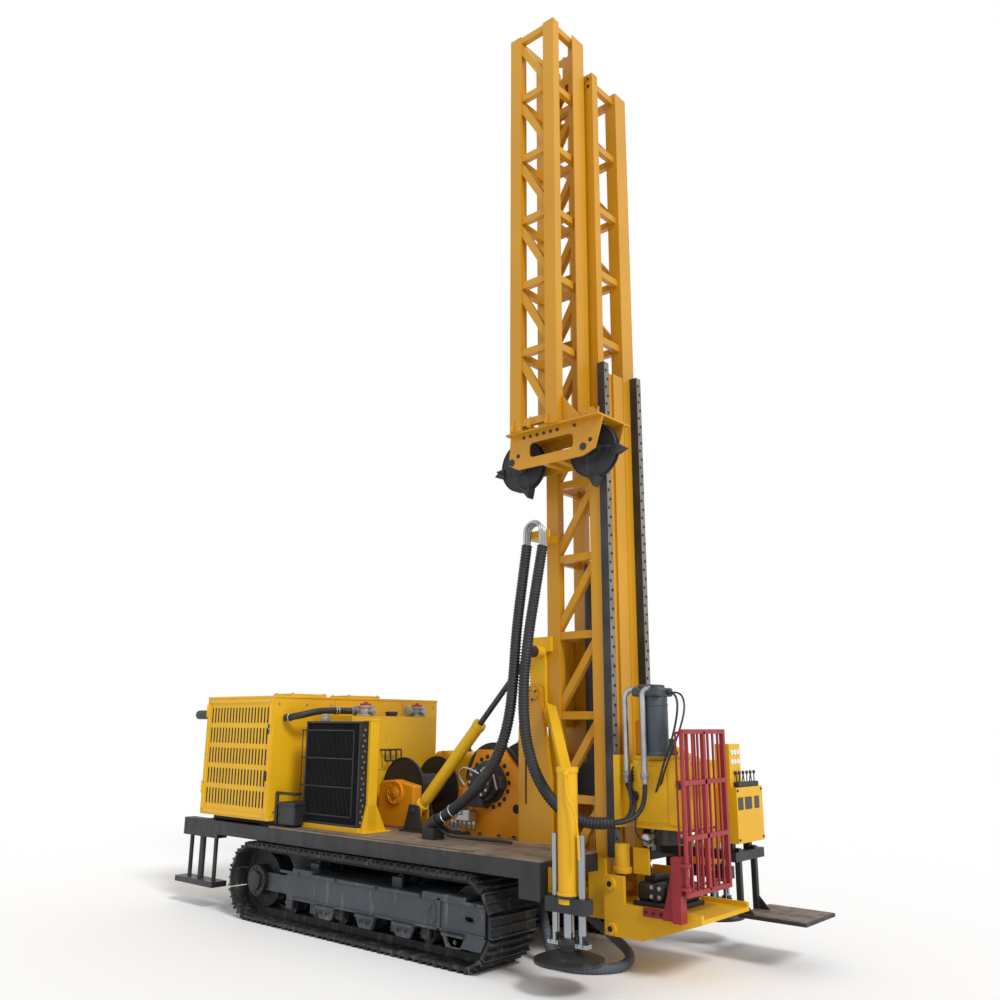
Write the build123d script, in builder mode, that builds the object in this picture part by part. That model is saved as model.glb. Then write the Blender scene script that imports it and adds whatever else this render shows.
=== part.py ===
import math
import os

from build123d import *

os.makedirs("parts", exist_ok=True)

# A crawler core drilling rig with a lattice mast in two sections, the upper one folded down beside
# the lower. Millimetres. The origin is on the ground under the middle of the machine, +X towards the
# borehole, +Y to the far side, +Z up. The near side, with the folded section, is -Y.

# Fits
seat_gap = 0.3
slide_gap = 5.0

# Tracks
track_outer_y = 1100
track_middle_x = -290
track_height = 666
shoe_width = 500
shoes_on_run = 17
shoes_on_turn = 6
shoe_plate = 18
shoe_spacing = 8
shoe_bite = 6
grouser_height = 22
grouser_width = 14
chain_width = 170
chain_depth = 60
shoe_radius = track_height / 2 - grouser_height - shoe_plate
shoe_pitch = math.pi * shoe_radius / shoes_on_turn
track_run = shoes_on_run * shoe_pitch
track_centre_z = track_height / 2
track_centre_y = track_outer_y - shoe_width / 2
wheel_radius = shoe_radius - chain_depth - seat_gap
rear_wheel_x = track_middle_x - track_run / 2
front_wheel_x = track_middle_x + track_run / 2

# Track frames and rollers
wheel_width = 150
wheel_hub_radius = 70
wheel_axle_radius = 40
roller_radius = 68
roller_width = 190
roller_axle_radius = 24
roller_count = 6
roller_spacing = 340
carrier_radius = 45
carrier_offset = 520
frame_outer_y = 1078
frame_inner_y = 700
frame_bottom = 250
frame_top = 470
frame_rear_x = -1160
frame_front_x = 1250
frame_nose = 150
frame_lug_thickness = 26
frame_slot_length = 90
frame_slot_width = 34

# Chassis and deck
deck_top = 813
deck_plate_thickness = 12
deck_half_width = 1054
deck_front_x = 1728
deck_rear_x = -2560
skirt_depth = 135
skirt_thickness = 60
corner_box_length = 190
corner_box_depth = 250
body_half_width = 420
body_rear_x = -2060
body_front_x = 1100
notch_rear_x = 1130
notch_half_width = 280
notch_wide_x = 1270
notch_wide_half = 368
body_bottom = 300
cross_beam_width = 360
cross_beam_x = (-980, 400)

# Engine housing
housing_rear_x = -2550
housing_front_x = -1420
housing_half_width = 1070
sill_width = 120
housing_sill_inset = 220
housing_bottom = 854
housing_top = 1970
housing_wall = 25
slot_rows = 5
slot_columns = 19
slot_width = 26
slot_height = 150
slot_pitch_x = 52
slot_pitch_z = 190
roof_plate_height = 28
roof_plate_length = 300
roof_plate_width = 420
roof_plate_x = -1640
roof_plate_y = (-620, 80)
engine_length = 820
engine_width = 620
engine_height = 640

# Exhaust
exhaust_y = -housing_half_width + 140
exhaust_z = 1800
exhaust_radius = 46
exhaust_wall = 4
exhaust_tip_x = -2930

# Radiator pack on the near side
radiator_rear_x = -1130
radiator_front_x = -370
radiator_outer_y = -910
radiator_depth = 170
radiator_bottom = 860
radiator_top = 1740
radiator_rim = 30
guard_wire_radius = 7
guard_wire_count = 4
post_inset = 90
post_width = 95
post_thickness = 35
post_foot_spread = 120
post_foot_height = 225

# Hydraulic tank
tank_rear_x = -1390
tank_front_x = -860
tank_near_y = -600
tank_far_y = 500
tank_top = 1790
filter_radius = 62
filter_height = 95

# Fuel tank
fuel_x = -500
fuel_y = 800
fuel_length = 900
fuel_width = 420
fuel_top = 1450
fuel_corner = 60

# Main winch
winch_x = 555
winch_z = 1250
winch_drum_radius = 150
winch_flange_radius = 320
winch_half_width = 210
winch_flange_thickness = 18
winch_plate_thickness = 30
winch_plate_gap = 8
winch_plate_rear_x = 225
winch_plate_front_x = 905
winch_plate_top = 1510
winch_motor_radius = 150
winch_motor_length = 110
winch_shaft_radius = 60

# Wireline winch
wire_winch_x = -540
wire_winch_z = 1145
wire_drum_radius = 110
wire_flange_radius = 275
wire_half_width = 225
wire_gear_width = 110
wire_gear_half = 230
wire_gear_offset = 28
wire_gear_top = 1225
wire_gear_shoulder = 45

# Mast tilt: pedestal, pivot and lift cylinders
tilt_x = 1075
tilt_z = 1965
tilt_pin_radius = 35
tilt_ear_radius = 78
pedestal_rear_x = 920
pedestal_front_x = 1250
pedestal_inner_y = 275
pedestal_thickness = 40
pedestal_web_z = 1500
lift_y = 385
lift_foot_x = -150
lift_foot_z = 1000
lift_eye_x = 1120
lift_eye_z = 2305
lift_barrel_radius = 52
lift_barrel_length = 1010
lift_rod_radius = 24
lift_neck_radius = 30
lift_neck_length = 115
lift_pin_radius = 22
lift_eye_radius = 48
lift_eye_width = 60
lift_pin_head = 14

# Mast slide carriage
carriage_rear_x = 1000
carriage_front_x = 1160
carriage_bottom = 1700
carriage_top = 2430
carriage_half_width = 262
carriage_wall = 20
claw_reach = 60
claw_height = 120

# Mast, lower section
mast_rear_x = 1165
mast_front_x = 1735
mast_half_width = 232
chord_depth = 118
chord_width = 84
brace_width = 62
brace_thickness = 50
mast_foot = 440
bay_height = 640
lower_bays = 11
lower_end = 74
face_plate_width = 170
face_plate_thickness = 10
end_gusset_hole = 85
lower_top = mast_foot + lower_bays * bay_height + 2 * lower_end

# Mast, upper section, folded at rest
upper_front_x = 1662
upper_length = 3860
upper_bays = 6
upper_end = 40
fold_gap_y = 15
fold_rise = 163
fold_clearance = 6
fold_y = -(mast_half_width + fold_gap_y)
fold_z = lower_top + fold_rise
upper_y = 2 * fold_y
upper_base_z = fold_z + fold_rise - fold_clearance
upper_crown_z = upper_base_z - upper_length
upper_bay = (upper_length - upper_end - brace_width) / upper_bays
fold_lug_thickness = 25
fold_lug_radius = 55
fold_pin_radius = 18
fold_lug_gap = 6
hinge_bay_drop = 330

# Crown and sheaves
crown_half_gap = 150
crown_plate_thickness = 14
crown_rear_x = 1111
crown_front_x = 2055
crown_drop = 306
crown_flange = 16
crown_inset = 10
crown_window_length = 450
crown_window_height = 125
crown_window_z = 3929
crown_slot_half = 100
crown_lug_radius = 42
crown_lug_hole = 18
sheave_radius = 224
sheave_width = 56
sheave_bore = 30
sheave_front_x = 1862
sheave_rear_x = 1125
sheave_drop = 233

# Feed rails and drilling line
rail_depth = 70
rail_width = 70
rail_foot = 760
rail_head = 4720
rail_near_y = -215
rail_far_y = 285
bore_x = 2100
bore_radius = 62

# Drill head
head_bottom = 980
head_plate = 55
head_radius = 205
head_height = 520
head_motor_x = 2130
head_motor_y = -190
head_motor_radius = 84
head_motor_height = 430
spindle_radius = 95
spindle_length = 760

# Foot table and rod holder
table_half_width = 350
table_plate = 30
table_rear_x = 1765
table_front_x = 2560
table_top = 470
table_nose_x = 2085
table_edge = 60
table_bottom = 245
table_shoulder_x = 1936
table_shoulder_z = 655
table_boss_x = 1830
table_boss_z = (598, 295)
table_boss_radius = 42
table_boss_height = 25
heel_rear_x = 1572
heel_bottom = 330
heel_top = 750
holder_half_length = 195
holder_half_width = 190
holder_height = 210

# Safety cage
cage_x = 2500
cage_near_y = -420
cage_width = 600
cage_bottom = 585
cage_top = 1694
cage_tube = 32
cage_lug_z = (640, 790)
bracket_bar_rear_x = 2114
bracket_bar_front_x = 2446
bracket_bar_bottom = 417
bracket_bar_top = 472
bracket_plate = 30
bracket_gusset_x = 2289
bracket_post_rear_x = 2397
bracket_post_width = 70
bracket_post_top = 840
cage_lug_thickness = 20
cage_bar = 14
cage_bar_count = 7

# Control console and step
console_arm_y = 560
console_arm_drop = 60
console_post_size = 50
console_box_inset = 100
console_beam_near_inset = 65
console_beam_far_reach = 110
step_post_insets = (25, 285)
console_x = 2330
console_depth = 170
console_near_y = 365
console_far_y = 800
console_bottom = 860
console_top = 1262
beam_size = 70
step_front_x = 2930
step_rear_x = 2400
step_near_y = 480
step_far_y = 1010
step_z = 350
step_thickness = 24

# Front jacks
jack_y = 1000
jack_x = 1930
jack_barrel_radius = 70
jack_barrel_bottom = 560
jack_barrel_top = 1430
jack_rod_radius = 36
jack_rod_fit = 1
jack_guide_radius = 26
jack_guide_offsets = (-110, 110)
jack_guide_top = 1000
jack_clamp_reach = 160
jack_clamp_width = 100
jack_clamp_bottom = 505
jack_clamp_height = 90
jack_bracket_inset = 65
jack_bracket_width = 60
jack_bracket_height = 160
jack_bracket_drop = 130
foot_bar_height = 26
foot_bar_width = 60
jack_foot_radius = 235
jack_foot_bottom = 200
jack_foot_height = 100
jack_foot_rim = 22
jack_socket_radius = 62
jack_rod_length = 760
strut_width = 72
strut_top_x = 1190
strut_top_z = 1890
strut_drop = 60
jack_stroke = 200

# Rear jacks
rear_jack_x = -2560
rear_guide_x = (-2760, -2330)
rear_foot_rear_x = -2890
rear_foot_front_x = -2230
rear_block_bottom = 640
rear_block_top = 800
rear_foot_width = 160
rear_rod_radius = 30
rear_guide_radius = 20

# Hose bundles beside the mast, their bends over the bracket and the hoses that go on to the head
bundle_radius = 45
elbow_radius = 11
elbow_spread = 22
elbow_count = 4
elbow_rise = 190
elbow_gap = 3.1
head_end_drop = 20
elbow_near_y = -570
deck_end_x = 1222
head_end_x = 1385
bundle_top_z = 3150
bracket_height = 60
pipe_radius = 22
pipe_a = (1920, -240)
pipe_b = (2117, -305)
pipe_bottom_z = 1335
pipe_top_z = 1985
pipe_bend_of = {pipe_a[0]: 70, pipe_b[0]: 55}
pipe_entry_x = 52
motor_block_half = 112
motor_block_rise = 34
branch_radius = 18
branch_offset = 21
branch_run = 96
ground_hose_radius = 36

# Cylinder inside the lower section
feed_cylinder_x = 1400
feed_cylinder_y = 60
feed_cylinder_radius = 52
feed_cylinder_foot = 1420
feed_cylinder_top = 3050
feed_box_height = 300


def write(piece, name):
    piece.part.label = name
    export_step(piece.part, f"parts/{name}.step")


def mirrored(piece):
    with BuildPart() as other:
        mirror(piece.part, about=Plane.XZ)
    return other


# Track: a chain loop that carries plates with three low bars each, seen in the XZ plane

# Position and direction of a shoe, counted in pitches from the rear end of the lower run
def track_place(step):
    lap = 2 * (shoes_on_run + shoes_on_turn)
    step = step % lap
    if step <= shoes_on_run:
        return rear_wheel_x + step * shoe_pitch, track_centre_z - shoe_radius, 180
    if step < shoes_on_run + shoes_on_turn:
        turn = (step - shoes_on_run) * 180 / shoes_on_turn
        centre = front_wheel_x
    elif step <= 2 * shoes_on_run + shoes_on_turn:
        done = step - shoes_on_run - shoes_on_turn
        return front_wheel_x - done * shoe_pitch, track_centre_z + shoe_radius, 0
    else:
        turn = 180 + (step - 2 * shoes_on_run - shoes_on_turn) * 180 / shoes_on_turn
        centre = rear_wheel_x
    swing = math.radians(turn - 90)
    x = centre + shoe_radius * math.cos(swing)
    z = track_centre_z + shoe_radius * math.sin(swing)
    return x, z, turn + 180


half_shoe = (shoe_pitch - shoe_spacing) / 2
shoe_face = shoe_plate
bar_top = shoe_plate + grouser_height
shoe_outline = [(-half_shoe, -shoe_bite), (half_shoe, -shoe_bite)]
for bar_right in (half_shoe, grouser_width / 2, -half_shoe + grouser_width):
    bar_left = bar_right - grouser_width
    if bar_right < half_shoe:
        shoe_outline.append((bar_right, shoe_face))
    shoe_outline += [(bar_right, bar_top), (bar_left, bar_top)]
    if bar_left > -half_shoe:
        shoe_outline.append((bar_left, shoe_face))

with BuildPart() as track_right:
    with BuildSketch(Plane.XZ.offset(track_centre_y - chain_width / 2)):
        with Locations((track_middle_x, track_centre_z)):
            SlotCenterToCenter(track_run, 2 * shoe_radius)
            SlotCenterToCenter(track_run, 2 * (shoe_radius - chain_depth), mode=Mode.SUBTRACT)
    extrude(amount=chain_width)
    with BuildSketch(Plane.XZ.offset(track_outer_y - shoe_width)):
        for step in range(2 * (shoes_on_run + shoes_on_turn)):
            x, z, turn = track_place(step)
            with Locations(Location((x, z, 0), (0, 0, turn))):
                Polygon(*shoe_outline, align=None)
    extrude(amount=shoe_width)
write(track_right, "track_right")
track_left = mirrored(track_right)
write(track_left, "track_left")

# Track wheels: sprocket, idler, lower rollers and carrier rollers with their axles
roller_z = track_centre_z - shoe_radius + chain_depth + seat_gap + roller_radius
carrier_z = track_centre_z + shoe_radius - chain_depth - seat_gap - carrier_radius
roller_axle = roller_width / 2 + 15
wheel_axle = chain_width / 2 + 25
roller_xs = [track_middle_x + (i - (roller_count - 1) / 2) * roller_spacing for i in range(roller_count)]
carrier_xs = [track_middle_x - carrier_offset, track_middle_x + carrier_offset]

with BuildPart() as wheels_right:
    for x in (rear_wheel_x, front_wheel_x):
        with BuildSketch(Plane.XZ.offset(track_centre_y - wheel_width / 2)):
            with Locations((x, track_centre_z)):
                Circle(wheel_radius)
        extrude(amount=wheel_width)
        with BuildSketch(Plane.XZ.offset(track_centre_y - wheel_axle)):
            with Locations((x, track_centre_z)):
                Circle(wheel_hub_radius)
        extrude(amount=2 * wheel_axle)
    for x in roller_xs:
        for radius, half in ((roller_radius, roller_width / 2), (roller_axle_radius, roller_axle)):
            with BuildSketch(Plane.XZ.offset(track_centre_y - half)):
                with Locations((x, roller_z)):
                    Circle(radius)
            extrude(amount=2 * half)
    for x in carrier_xs:
        for radius, half in ((carrier_radius, roller_width / 2), (roller_axle_radius, roller_axle)):
            with BuildSketch(Plane.XZ.offset(track_centre_y - half)):
                with Locations((x, carrier_z)):
                    Circle(radius)
            extrude(amount=2 * half)
write(wheels_right, "track_wheels_right")
wheels_left = mirrored(wheels_right)
write(wheels_left, "track_wheels_left")

# Track frame: a box beam with lugs down to the rollers, saddles up to the carriers and end arms
frame_outline = [
    (frame_rear_x, frame_top - frame_nose / 2),
    (frame_rear_x + frame_nose, frame_top),
    (frame_front_x, frame_top),
    (frame_front_x, frame_bottom),
    (frame_rear_x + frame_nose, frame_bottom),
    (frame_rear_x, frame_bottom + frame_nose / 2),
]
lug_y = roller_axle + seat_gap
arm_y = wheel_axle + seat_gap
arm_half = 75
lug_top = frame_bottom + frame_nose / 2 + 10

with BuildPart() as track_frame_right:
    with BuildSketch(Plane.XZ.offset(frame_inner_y)):
        with BuildLine():
            Polyline(*frame_outline, close=True)
        make_face()
    extrude(amount=frame_outer_y - frame_inner_y)
    # Lugs on both sides of each roller
    for x in roller_xs:
        for side in (-1, 1):
            y = track_centre_y + side * (lug_y + frame_lug_thickness / 2)
            with Locations((x, -y, (roller_z - roller_axle_radius + lug_top) / 2)):
                Box(90, frame_lug_thickness, lug_top - roller_z + roller_axle_radius)
    for x in carrier_xs:
        for side in (-1, 1):
            y = track_centre_y + side * (lug_y + frame_lug_thickness / 2)
            with Locations((x, -y, (carrier_z + roller_axle_radius + frame_top) / 2)):
                Box(110, frame_lug_thickness, carrier_z + roller_axle_radius - frame_top)
    # Arms that reach out to the sprocket and the idler
    for x, near_x in ((rear_wheel_x, frame_rear_x + frame_nose), (front_wheel_x, frame_front_x - 20)):
        for side in (-1, 1):
            y = track_centre_y + side * (arm_y + frame_lug_thickness / 2)
            low, high = min(x - arm_half, near_x), max(x + arm_half, near_x)
            with Locations(((low + high) / 2, -y, track_centre_z)):
                Box(high - low, frame_lug_thickness, 2 * arm_half)
    # Room for the idler in the front of the box beam
    with BuildSketch(Plane.XZ.offset(track_centre_y - arm_y)):
        with Locations((front_wheel_x, track_centre_z)):
            Circle(shoe_radius + slide_gap)
    extrude(amount=2 * arm_y, mode=Mode.SUBTRACT)
    with BuildSketch(Plane.XZ.offset(frame_outer_y)):
        with Locations((frame_front_x - 150, (frame_bottom + frame_top) / 2)):
            SlotOverall(frame_slot_length, frame_slot_width)
    extrude(amount=-60, mode=Mode.SUBTRACT)
write(track_frame_right, "track_frame_right")
track_frame_left = mirrored(track_frame_right)
write(track_frame_left, "track_frame_left")

# Chassis: centre body, cross beams to the track frames, deck skirts and corner boxes
deck_under = deck_top - deck_plate_thickness
skirt_bottom = deck_top - skirt_depth

with BuildPart() as chassis:
    with Locations(((body_rear_x + body_front_x) / 2, 0, (body_bottom + deck_under) / 2)):
        Box(body_front_x - body_rear_x, 2 * body_half_width, deck_under - body_bottom)
    for x in cross_beam_x:
        with Locations((x, 0, (body_bottom + frame_top) / 2 + 10)):
            Box(cross_beam_width, 2 * frame_inner_y, frame_top - body_bottom - 20)
    with Locations(((deck_rear_x + deck_front_x) / 2, 0, (skirt_bottom + deck_under) / 2)):
        Box(deck_front_x - deck_rear_x, 2 * deck_half_width, deck_under - skirt_bottom)
    inner_length = (deck_front_x - deck_rear_x - 4 * skirt_thickness) / 3
    for i in range(3):
        x = deck_rear_x + skirt_thickness + inner_length / 2 + i * (inner_length + skirt_thickness)
        for side in (-1, 1):
            y = side * (body_half_width + deck_half_width - skirt_thickness) / 2
            with Locations((x, y, (skirt_bottom + deck_under) / 2)):
                Box(
                    inner_length,
                    deck_half_width - skirt_thickness - body_half_width,
                    deck_under - skirt_bottom,
                    mode=Mode.SUBTRACT,
                )
    # Room for the mast and its table at the front
    for rear_x, half in ((notch_rear_x, notch_half_width), (notch_wide_x, notch_wide_half)):
        with Locations(((rear_x + deck_front_x) / 2, 0, (skirt_bottom + deck_under) / 2)):
            Box(deck_front_x - rear_x, 2 * half, deck_under - skirt_bottom, mode=Mode.SUBTRACT)
    # Corner boxes that carry the front jacks
    for side in (-1, 1):
        with Locations((deck_front_x - corner_box_length / 2, side * (deck_half_width - 75), deck_under - corner_box_depth / 2)):
            Box(corner_box_length, 150, corner_box_depth)
    # Sills under the housing
    sill_height = housing_bottom - deck_top
    sill_y = housing_half_width - housing_sill_inset
    for side in (-1, 1):
        with Locations(((housing_rear_x + housing_front_x) / 2, side * sill_y, deck_under + (sill_height + deck_plate_thickness) / 2)):
            Box(housing_front_x - housing_rear_x, sill_width, sill_height + deck_plate_thickness)
    # Rear blocks of the rear jacks
    for side in (-1, 1):
        with Locations(((rear_foot_rear_x + rear_foot_front_x) / 2 + 20, side * jack_y, (rear_block_bottom + rear_block_top) / 2)):
            Box(rear_foot_front_x - rear_foot_rear_x - 60, 2 * (deck_half_width - jack_y), rear_block_top - rear_block_bottom)
        for x, radius in ((rear_jack_x, rear_rod_radius), (rear_guide_x[0], rear_guide_radius), (rear_guide_x[1], rear_guide_radius)):
            with BuildSketch(Plane.XY.offset(rear_block_bottom)):
                with Locations((x, side * jack_y)):
                    Circle(radius + jack_rod_fit)
            extrude(amount=rear_block_top - rear_block_bottom, mode=Mode.SUBTRACT)
    # The two front arms beside the mast are bolted on: a seam parts them from the rest
    with Locations((notch_rear_x + seat_gap / 2, 0, (skirt_bottom + deck_under) / 2)):
        Box(seat_gap, 2 * deck_half_width, deck_under - skirt_bottom, mode=Mode.SUBTRACT)
write(chassis, "chassis_frame")

# Deck plate, cut round the housing sills
with BuildPart() as deck:
    with Locations(((housing_front_x + deck_front_x) / 2, 0, deck_top - deck_plate_thickness / 2)):
        Box(deck_front_x - housing_front_x, 2 * deck_half_width, deck_plate_thickness)
    for rear_x, half in ((notch_rear_x, notch_half_width), (notch_wide_x, notch_wide_half)):
        with Locations(((rear_x + deck_front_x) / 2, 0, deck_top - deck_plate_thickness / 2)):
            Box(deck_front_x - rear_x, 2 * half, deck_plate_thickness, mode=Mode.SUBTRACT)
    with Locations((notch_rear_x + seat_gap / 2, 0, deck_top - deck_plate_thickness / 2)):
        Box(seat_gap, 2 * deck_half_width, deck_plate_thickness, mode=Mode.SUBTRACT)
write(deck, "deck_plate")

# Engine housing: hollow, open below, with louvre slots through both sides
with BuildPart() as housing:
    with Locations(((housing_rear_x + housing_front_x) / 2, 0, (housing_bottom + housing_top) / 2)):
        Box(housing_front_x - housing_rear_x, 2 * housing_half_width, housing_top - housing_bottom)
    with Locations(((housing_rear_x + housing_front_x) / 2, 0, (housing_bottom + housing_top - housing_wall) / 2)):
        Box(
            housing_front_x - housing_rear_x - 2 * housing_wall,
            2 * (housing_half_width - housing_wall),
            housing_top - housing_bottom - housing_wall,
            mode=Mode.SUBTRACT,
        )
    with BuildSketch(Plane.XZ.offset(-housing_half_width)):
        with Locations(((housing_rear_x + housing_front_x) / 2, (housing_bottom + housing_top) / 2)):
            with GridLocations(slot_pitch_x, slot_pitch_z, slot_columns, slot_rows):
                SlotOverall(slot_height, slot_width, rotation=90)
    extrude(amount=2 * housing_half_width, mode=Mode.SUBTRACT)
    # Two low plates on the roof
    for y in roof_plate_y:
        with Locations((roof_plate_x, y, housing_top + roof_plate_height / 2)):
            Box(roof_plate_length, roof_plate_width, roof_plate_height)
write(housing, "engine_housing")

with BuildPart() as engine:
    with Locations(((housing_rear_x + housing_front_x) / 2, 0, deck_under + engine_height / 2)):
        Box(engine_length, engine_width, engine_height)
write(engine, "engine_block")

with BuildPart() as exhaust:
    with BuildSketch(Plane.YZ.offset(housing_rear_x - seat_gap)):
        with Locations((exhaust_y, exhaust_z)):
            Circle(exhaust_radius)
            Circle(exhaust_radius - exhaust_wall, mode=Mode.SUBTRACT)
    extrude(amount=exhaust_tip_x - housing_rear_x)
    with BuildSketch(Plane.YZ.offset(housing_rear_x - seat_gap)):
        with Locations((exhaust_y, exhaust_z)):
            Circle(exhaust_radius + 26)
    extrude(amount=-14)
write(exhaust, "exhaust_pipe")

# Radiator: a frame with a core, and guard wires across the face
radiator_x = (radiator_rear_x + radiator_front_x) / 2
radiator_z = (radiator_bottom + radiator_top) / 2
radiator_length = radiator_front_x - radiator_rear_x
radiator_height = radiator_top - radiator_bottom
with BuildPart() as radiator:
    with Locations((radiator_x, radiator_outer_y + radiator_depth / 2, radiator_z)):
        Box(radiator_length, radiator_depth, radiator_height)
    with Locations((radiator_x, radiator_outer_y + 20, radiator_z)):
        Box(
            radiator_length - 2 * radiator_rim,
            40,
            radiator_height - 2 * radiator_rim,
            mode=Mode.SUBTRACT,
        )
    for i in range(guard_wire_count):
        z = radiator_bottom + (i + 1) * radiator_height / (guard_wire_count + 1)
        with BuildSketch(Plane.YZ.offset(radiator_rear_x)):
            with Locations((radiator_outer_y + guard_wire_radius, z)):
                Circle(guard_wire_radius)
        extrude(amount=radiator_length)
write(radiator, "radiator")

# Yellow sill and post with a triangular foot that hold the radiator
with BuildPart() as stand:
    with Locations((radiator_x, radiator_outer_y + radiator_depth / 2, (deck_top + radiator_bottom) / 2)):
        Box(radiator_length, radiator_depth, radiator_bottom - deck_top)
    post_near_y = radiator_outer_y + post_inset
    with Locations((radiator_front_x + post_thickness / 2, post_near_y + post_width / 2, (deck_top + radiator_top) / 2)):
        Box(post_thickness, post_width, radiator_top - deck_top)
    with BuildSketch(Plane.YZ.offset(radiator_front_x)):
        with BuildLine():
            Polyline(
                (post_near_y - post_foot_spread / 2, deck_top),
                (post_near_y + post_width + post_foot_spread, deck_top),
                (post_near_y + post_width, deck_top + post_foot_height),
                (post_near_y, deck_top + post_foot_height),
                close=True,
            )
        make_face()
    extrude(amount=post_thickness)
write(stand, "radiator_stand")

# Hydraulic tank with its filter heads and filler cap
with BuildPart() as tank:
    with Locations(((tank_rear_x + tank_front_x) / 2, (tank_near_y + tank_far_y) / 2, (deck_top + tank_top) / 2)):
        Box(tank_front_x - tank_rear_x, tank_far_y - tank_near_y, tank_top - deck_top)
write(tank, "hydraulic_tank")

filter_y = (tank_near_y + 265, tank_far_y - 155)
filter_x = tank_front_x - 120
with BuildPart() as filters:
    for y in filter_y:
        with BuildSketch(Plane.XY.offset(tank_top)):
            with Locations((filter_x, y)):
                Circle(filter_radius)
        extrude(amount=filter_height)
write(filters, "return_filters")

with BuildPart() as fuel_tank:
    with Locations((fuel_x, fuel_y, (deck_top + fuel_top) / 2)):
        Box(fuel_length, fuel_width, fuel_top - deck_top)
    fillet(fuel_tank.edges().filter_by(Axis.X), fuel_corner)
write(fuel_tank, "fuel_tank")

# Main winch: drum between two side plates, with a motor on the near plate
winch_plate_y = winch_half_width + winch_plate_gap
winch_plate_outline = [
    (winch_plate_rear_x, deck_top),
    (winch_plate_front_x, deck_top),
    (winch_plate_front_x, winch_z + 60),
    (winch_x + 150, winch_plate_top),
    (winch_x - 150, winch_plate_top),
    (winch_plate_rear_x, winch_z - 120),
]
with BuildPart() as winch_frame:
    for y in (winch_plate_y + winch_plate_thickness, -winch_plate_y):
        with BuildSketch(Plane.XZ.offset(-y)):
            with BuildLine():
                Polyline(*winch_plate_outline, close=True)
            make_face()
            with Locations((winch_x, winch_z)):
                Circle(winch_shaft_radius + seat_gap, mode=Mode.SUBTRACT)
        extrude(amount=winch_plate_thickness)
    with Locations((winch_plate_rear_x + 60, 0, deck_top + 25)):
        Box(80, 2 * winch_plate_y, 50)
    with Locations((winch_plate_front_x - 40, 0, deck_top + 25)):
        Box(80, 2 * winch_plate_y, 50)
write(winch_frame, "main_winch_frame")

with BuildPart() as winch_motor:
    with BuildSketch(Plane.XZ.offset(winch_plate_y + winch_plate_thickness + seat_gap)):
        with Locations((winch_x, winch_z)):
            Circle(winch_motor_radius)
    extrude(amount=winch_motor_length)
write(winch_motor, "main_winch_motor")

with BuildPart() as winch_drum:
    with BuildSketch(Plane.XZ.offset(-winch_half_width)):
        with Locations((winch_x, winch_z)):
            Circle(winch_drum_radius)
    extrude(amount=2 * winch_half_width)
    for y in (winch_half_width, -winch_half_width + winch_flange_thickness):
        with BuildSketch(Plane.XZ.offset(-y)):
            with Locations((winch_x, winch_z)):
                Circle(winch_flange_radius)
        extrude(amount=winch_flange_thickness)
    with BuildSketch(Plane.XZ.offset(-winch_plate_y - winch_plate_thickness)):
        with Locations((winch_x, winch_z)):
            Circle(winch_shaft_radius)
    extrude(amount=2 * (winch_plate_y + winch_plate_thickness))
write(winch_drum, "main_winch_drum")

# Wireline winch: a gear housing on the near side carries the drum, with a plain bearing stand far side
with BuildPart() as wire_frame:
    gear_x = wire_winch_x + wire_gear_offset
    with BuildSketch(Plane.XZ.offset(wire_half_width + winch_plate_gap)):
        with BuildLine():
            Polyline(
                (gear_x - wire_gear_half, deck_top),
                (gear_x - wire_gear_half, wire_gear_top - wire_gear_shoulder),
                (gear_x - wire_gear_half + wire_gear_shoulder, wire_gear_top - wire_gear_shoulder / 3),
                (gear_x - wire_gear_shoulder, wire_gear_top),
                (gear_x + wire_gear_half, wire_gear_top - wire_gear_shoulder),
                (gear_x + wire_gear_half, deck_top),
                close=True,
            )
        make_face()
        with Locations((wire_winch_x, wire_winch_z)):
            Circle(winch_shaft_radius + seat_gap, mode=Mode.SUBTRACT)
    extrude(amount=wire_gear_width)
    with BuildSketch(Plane.XZ.offset(-wire_half_width - winch_plate_gap)):
        with Locations((wire_winch_x, (wire_winch_z + deck_top) / 2)):
            Rectangle(2 * wire_drum_radius, wire_winch_z - deck_top)
        with Locations((wire_winch_x, wire_winch_z)):
            Circle(wire_drum_radius)
            Circle(winch_shaft_radius + seat_gap, mode=Mode.SUBTRACT)
    extrude(amount=-winch_plate_thickness)
    with Locations((wire_winch_x, 0, deck_top + 25)):
        Box(300, 2 * (wire_half_width + winch_plate_gap), 50)
write(wire_frame, "wireline_winch_frame")

with BuildPart() as wire_drum:
    with BuildSketch(Plane.XZ.offset(-wire_half_width)):
        with Locations((wire_winch_x, wire_winch_z)):
            Circle(wire_drum_radius)
    extrude(amount=2 * wire_half_width)
    for y in (wire_half_width, -wire_half_width + 14):
        with BuildSketch(Plane.XZ.offset(-y)):
            with Locations((wire_winch_x, wire_winch_z)):
                Circle(wire_flange_radius)
        extrude(amount=14)
    with BuildSketch(Plane.XZ.offset(-wire_half_width - winch_plate_gap - winch_plate_thickness)):
        with Locations((wire_winch_x, wire_winch_z)):
            Circle(winch_shaft_radius)
    extrude(amount=2 * (wire_half_width + winch_plate_gap + winch_plate_thickness))
write(wire_drum, "wireline_winch_drum")

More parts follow.
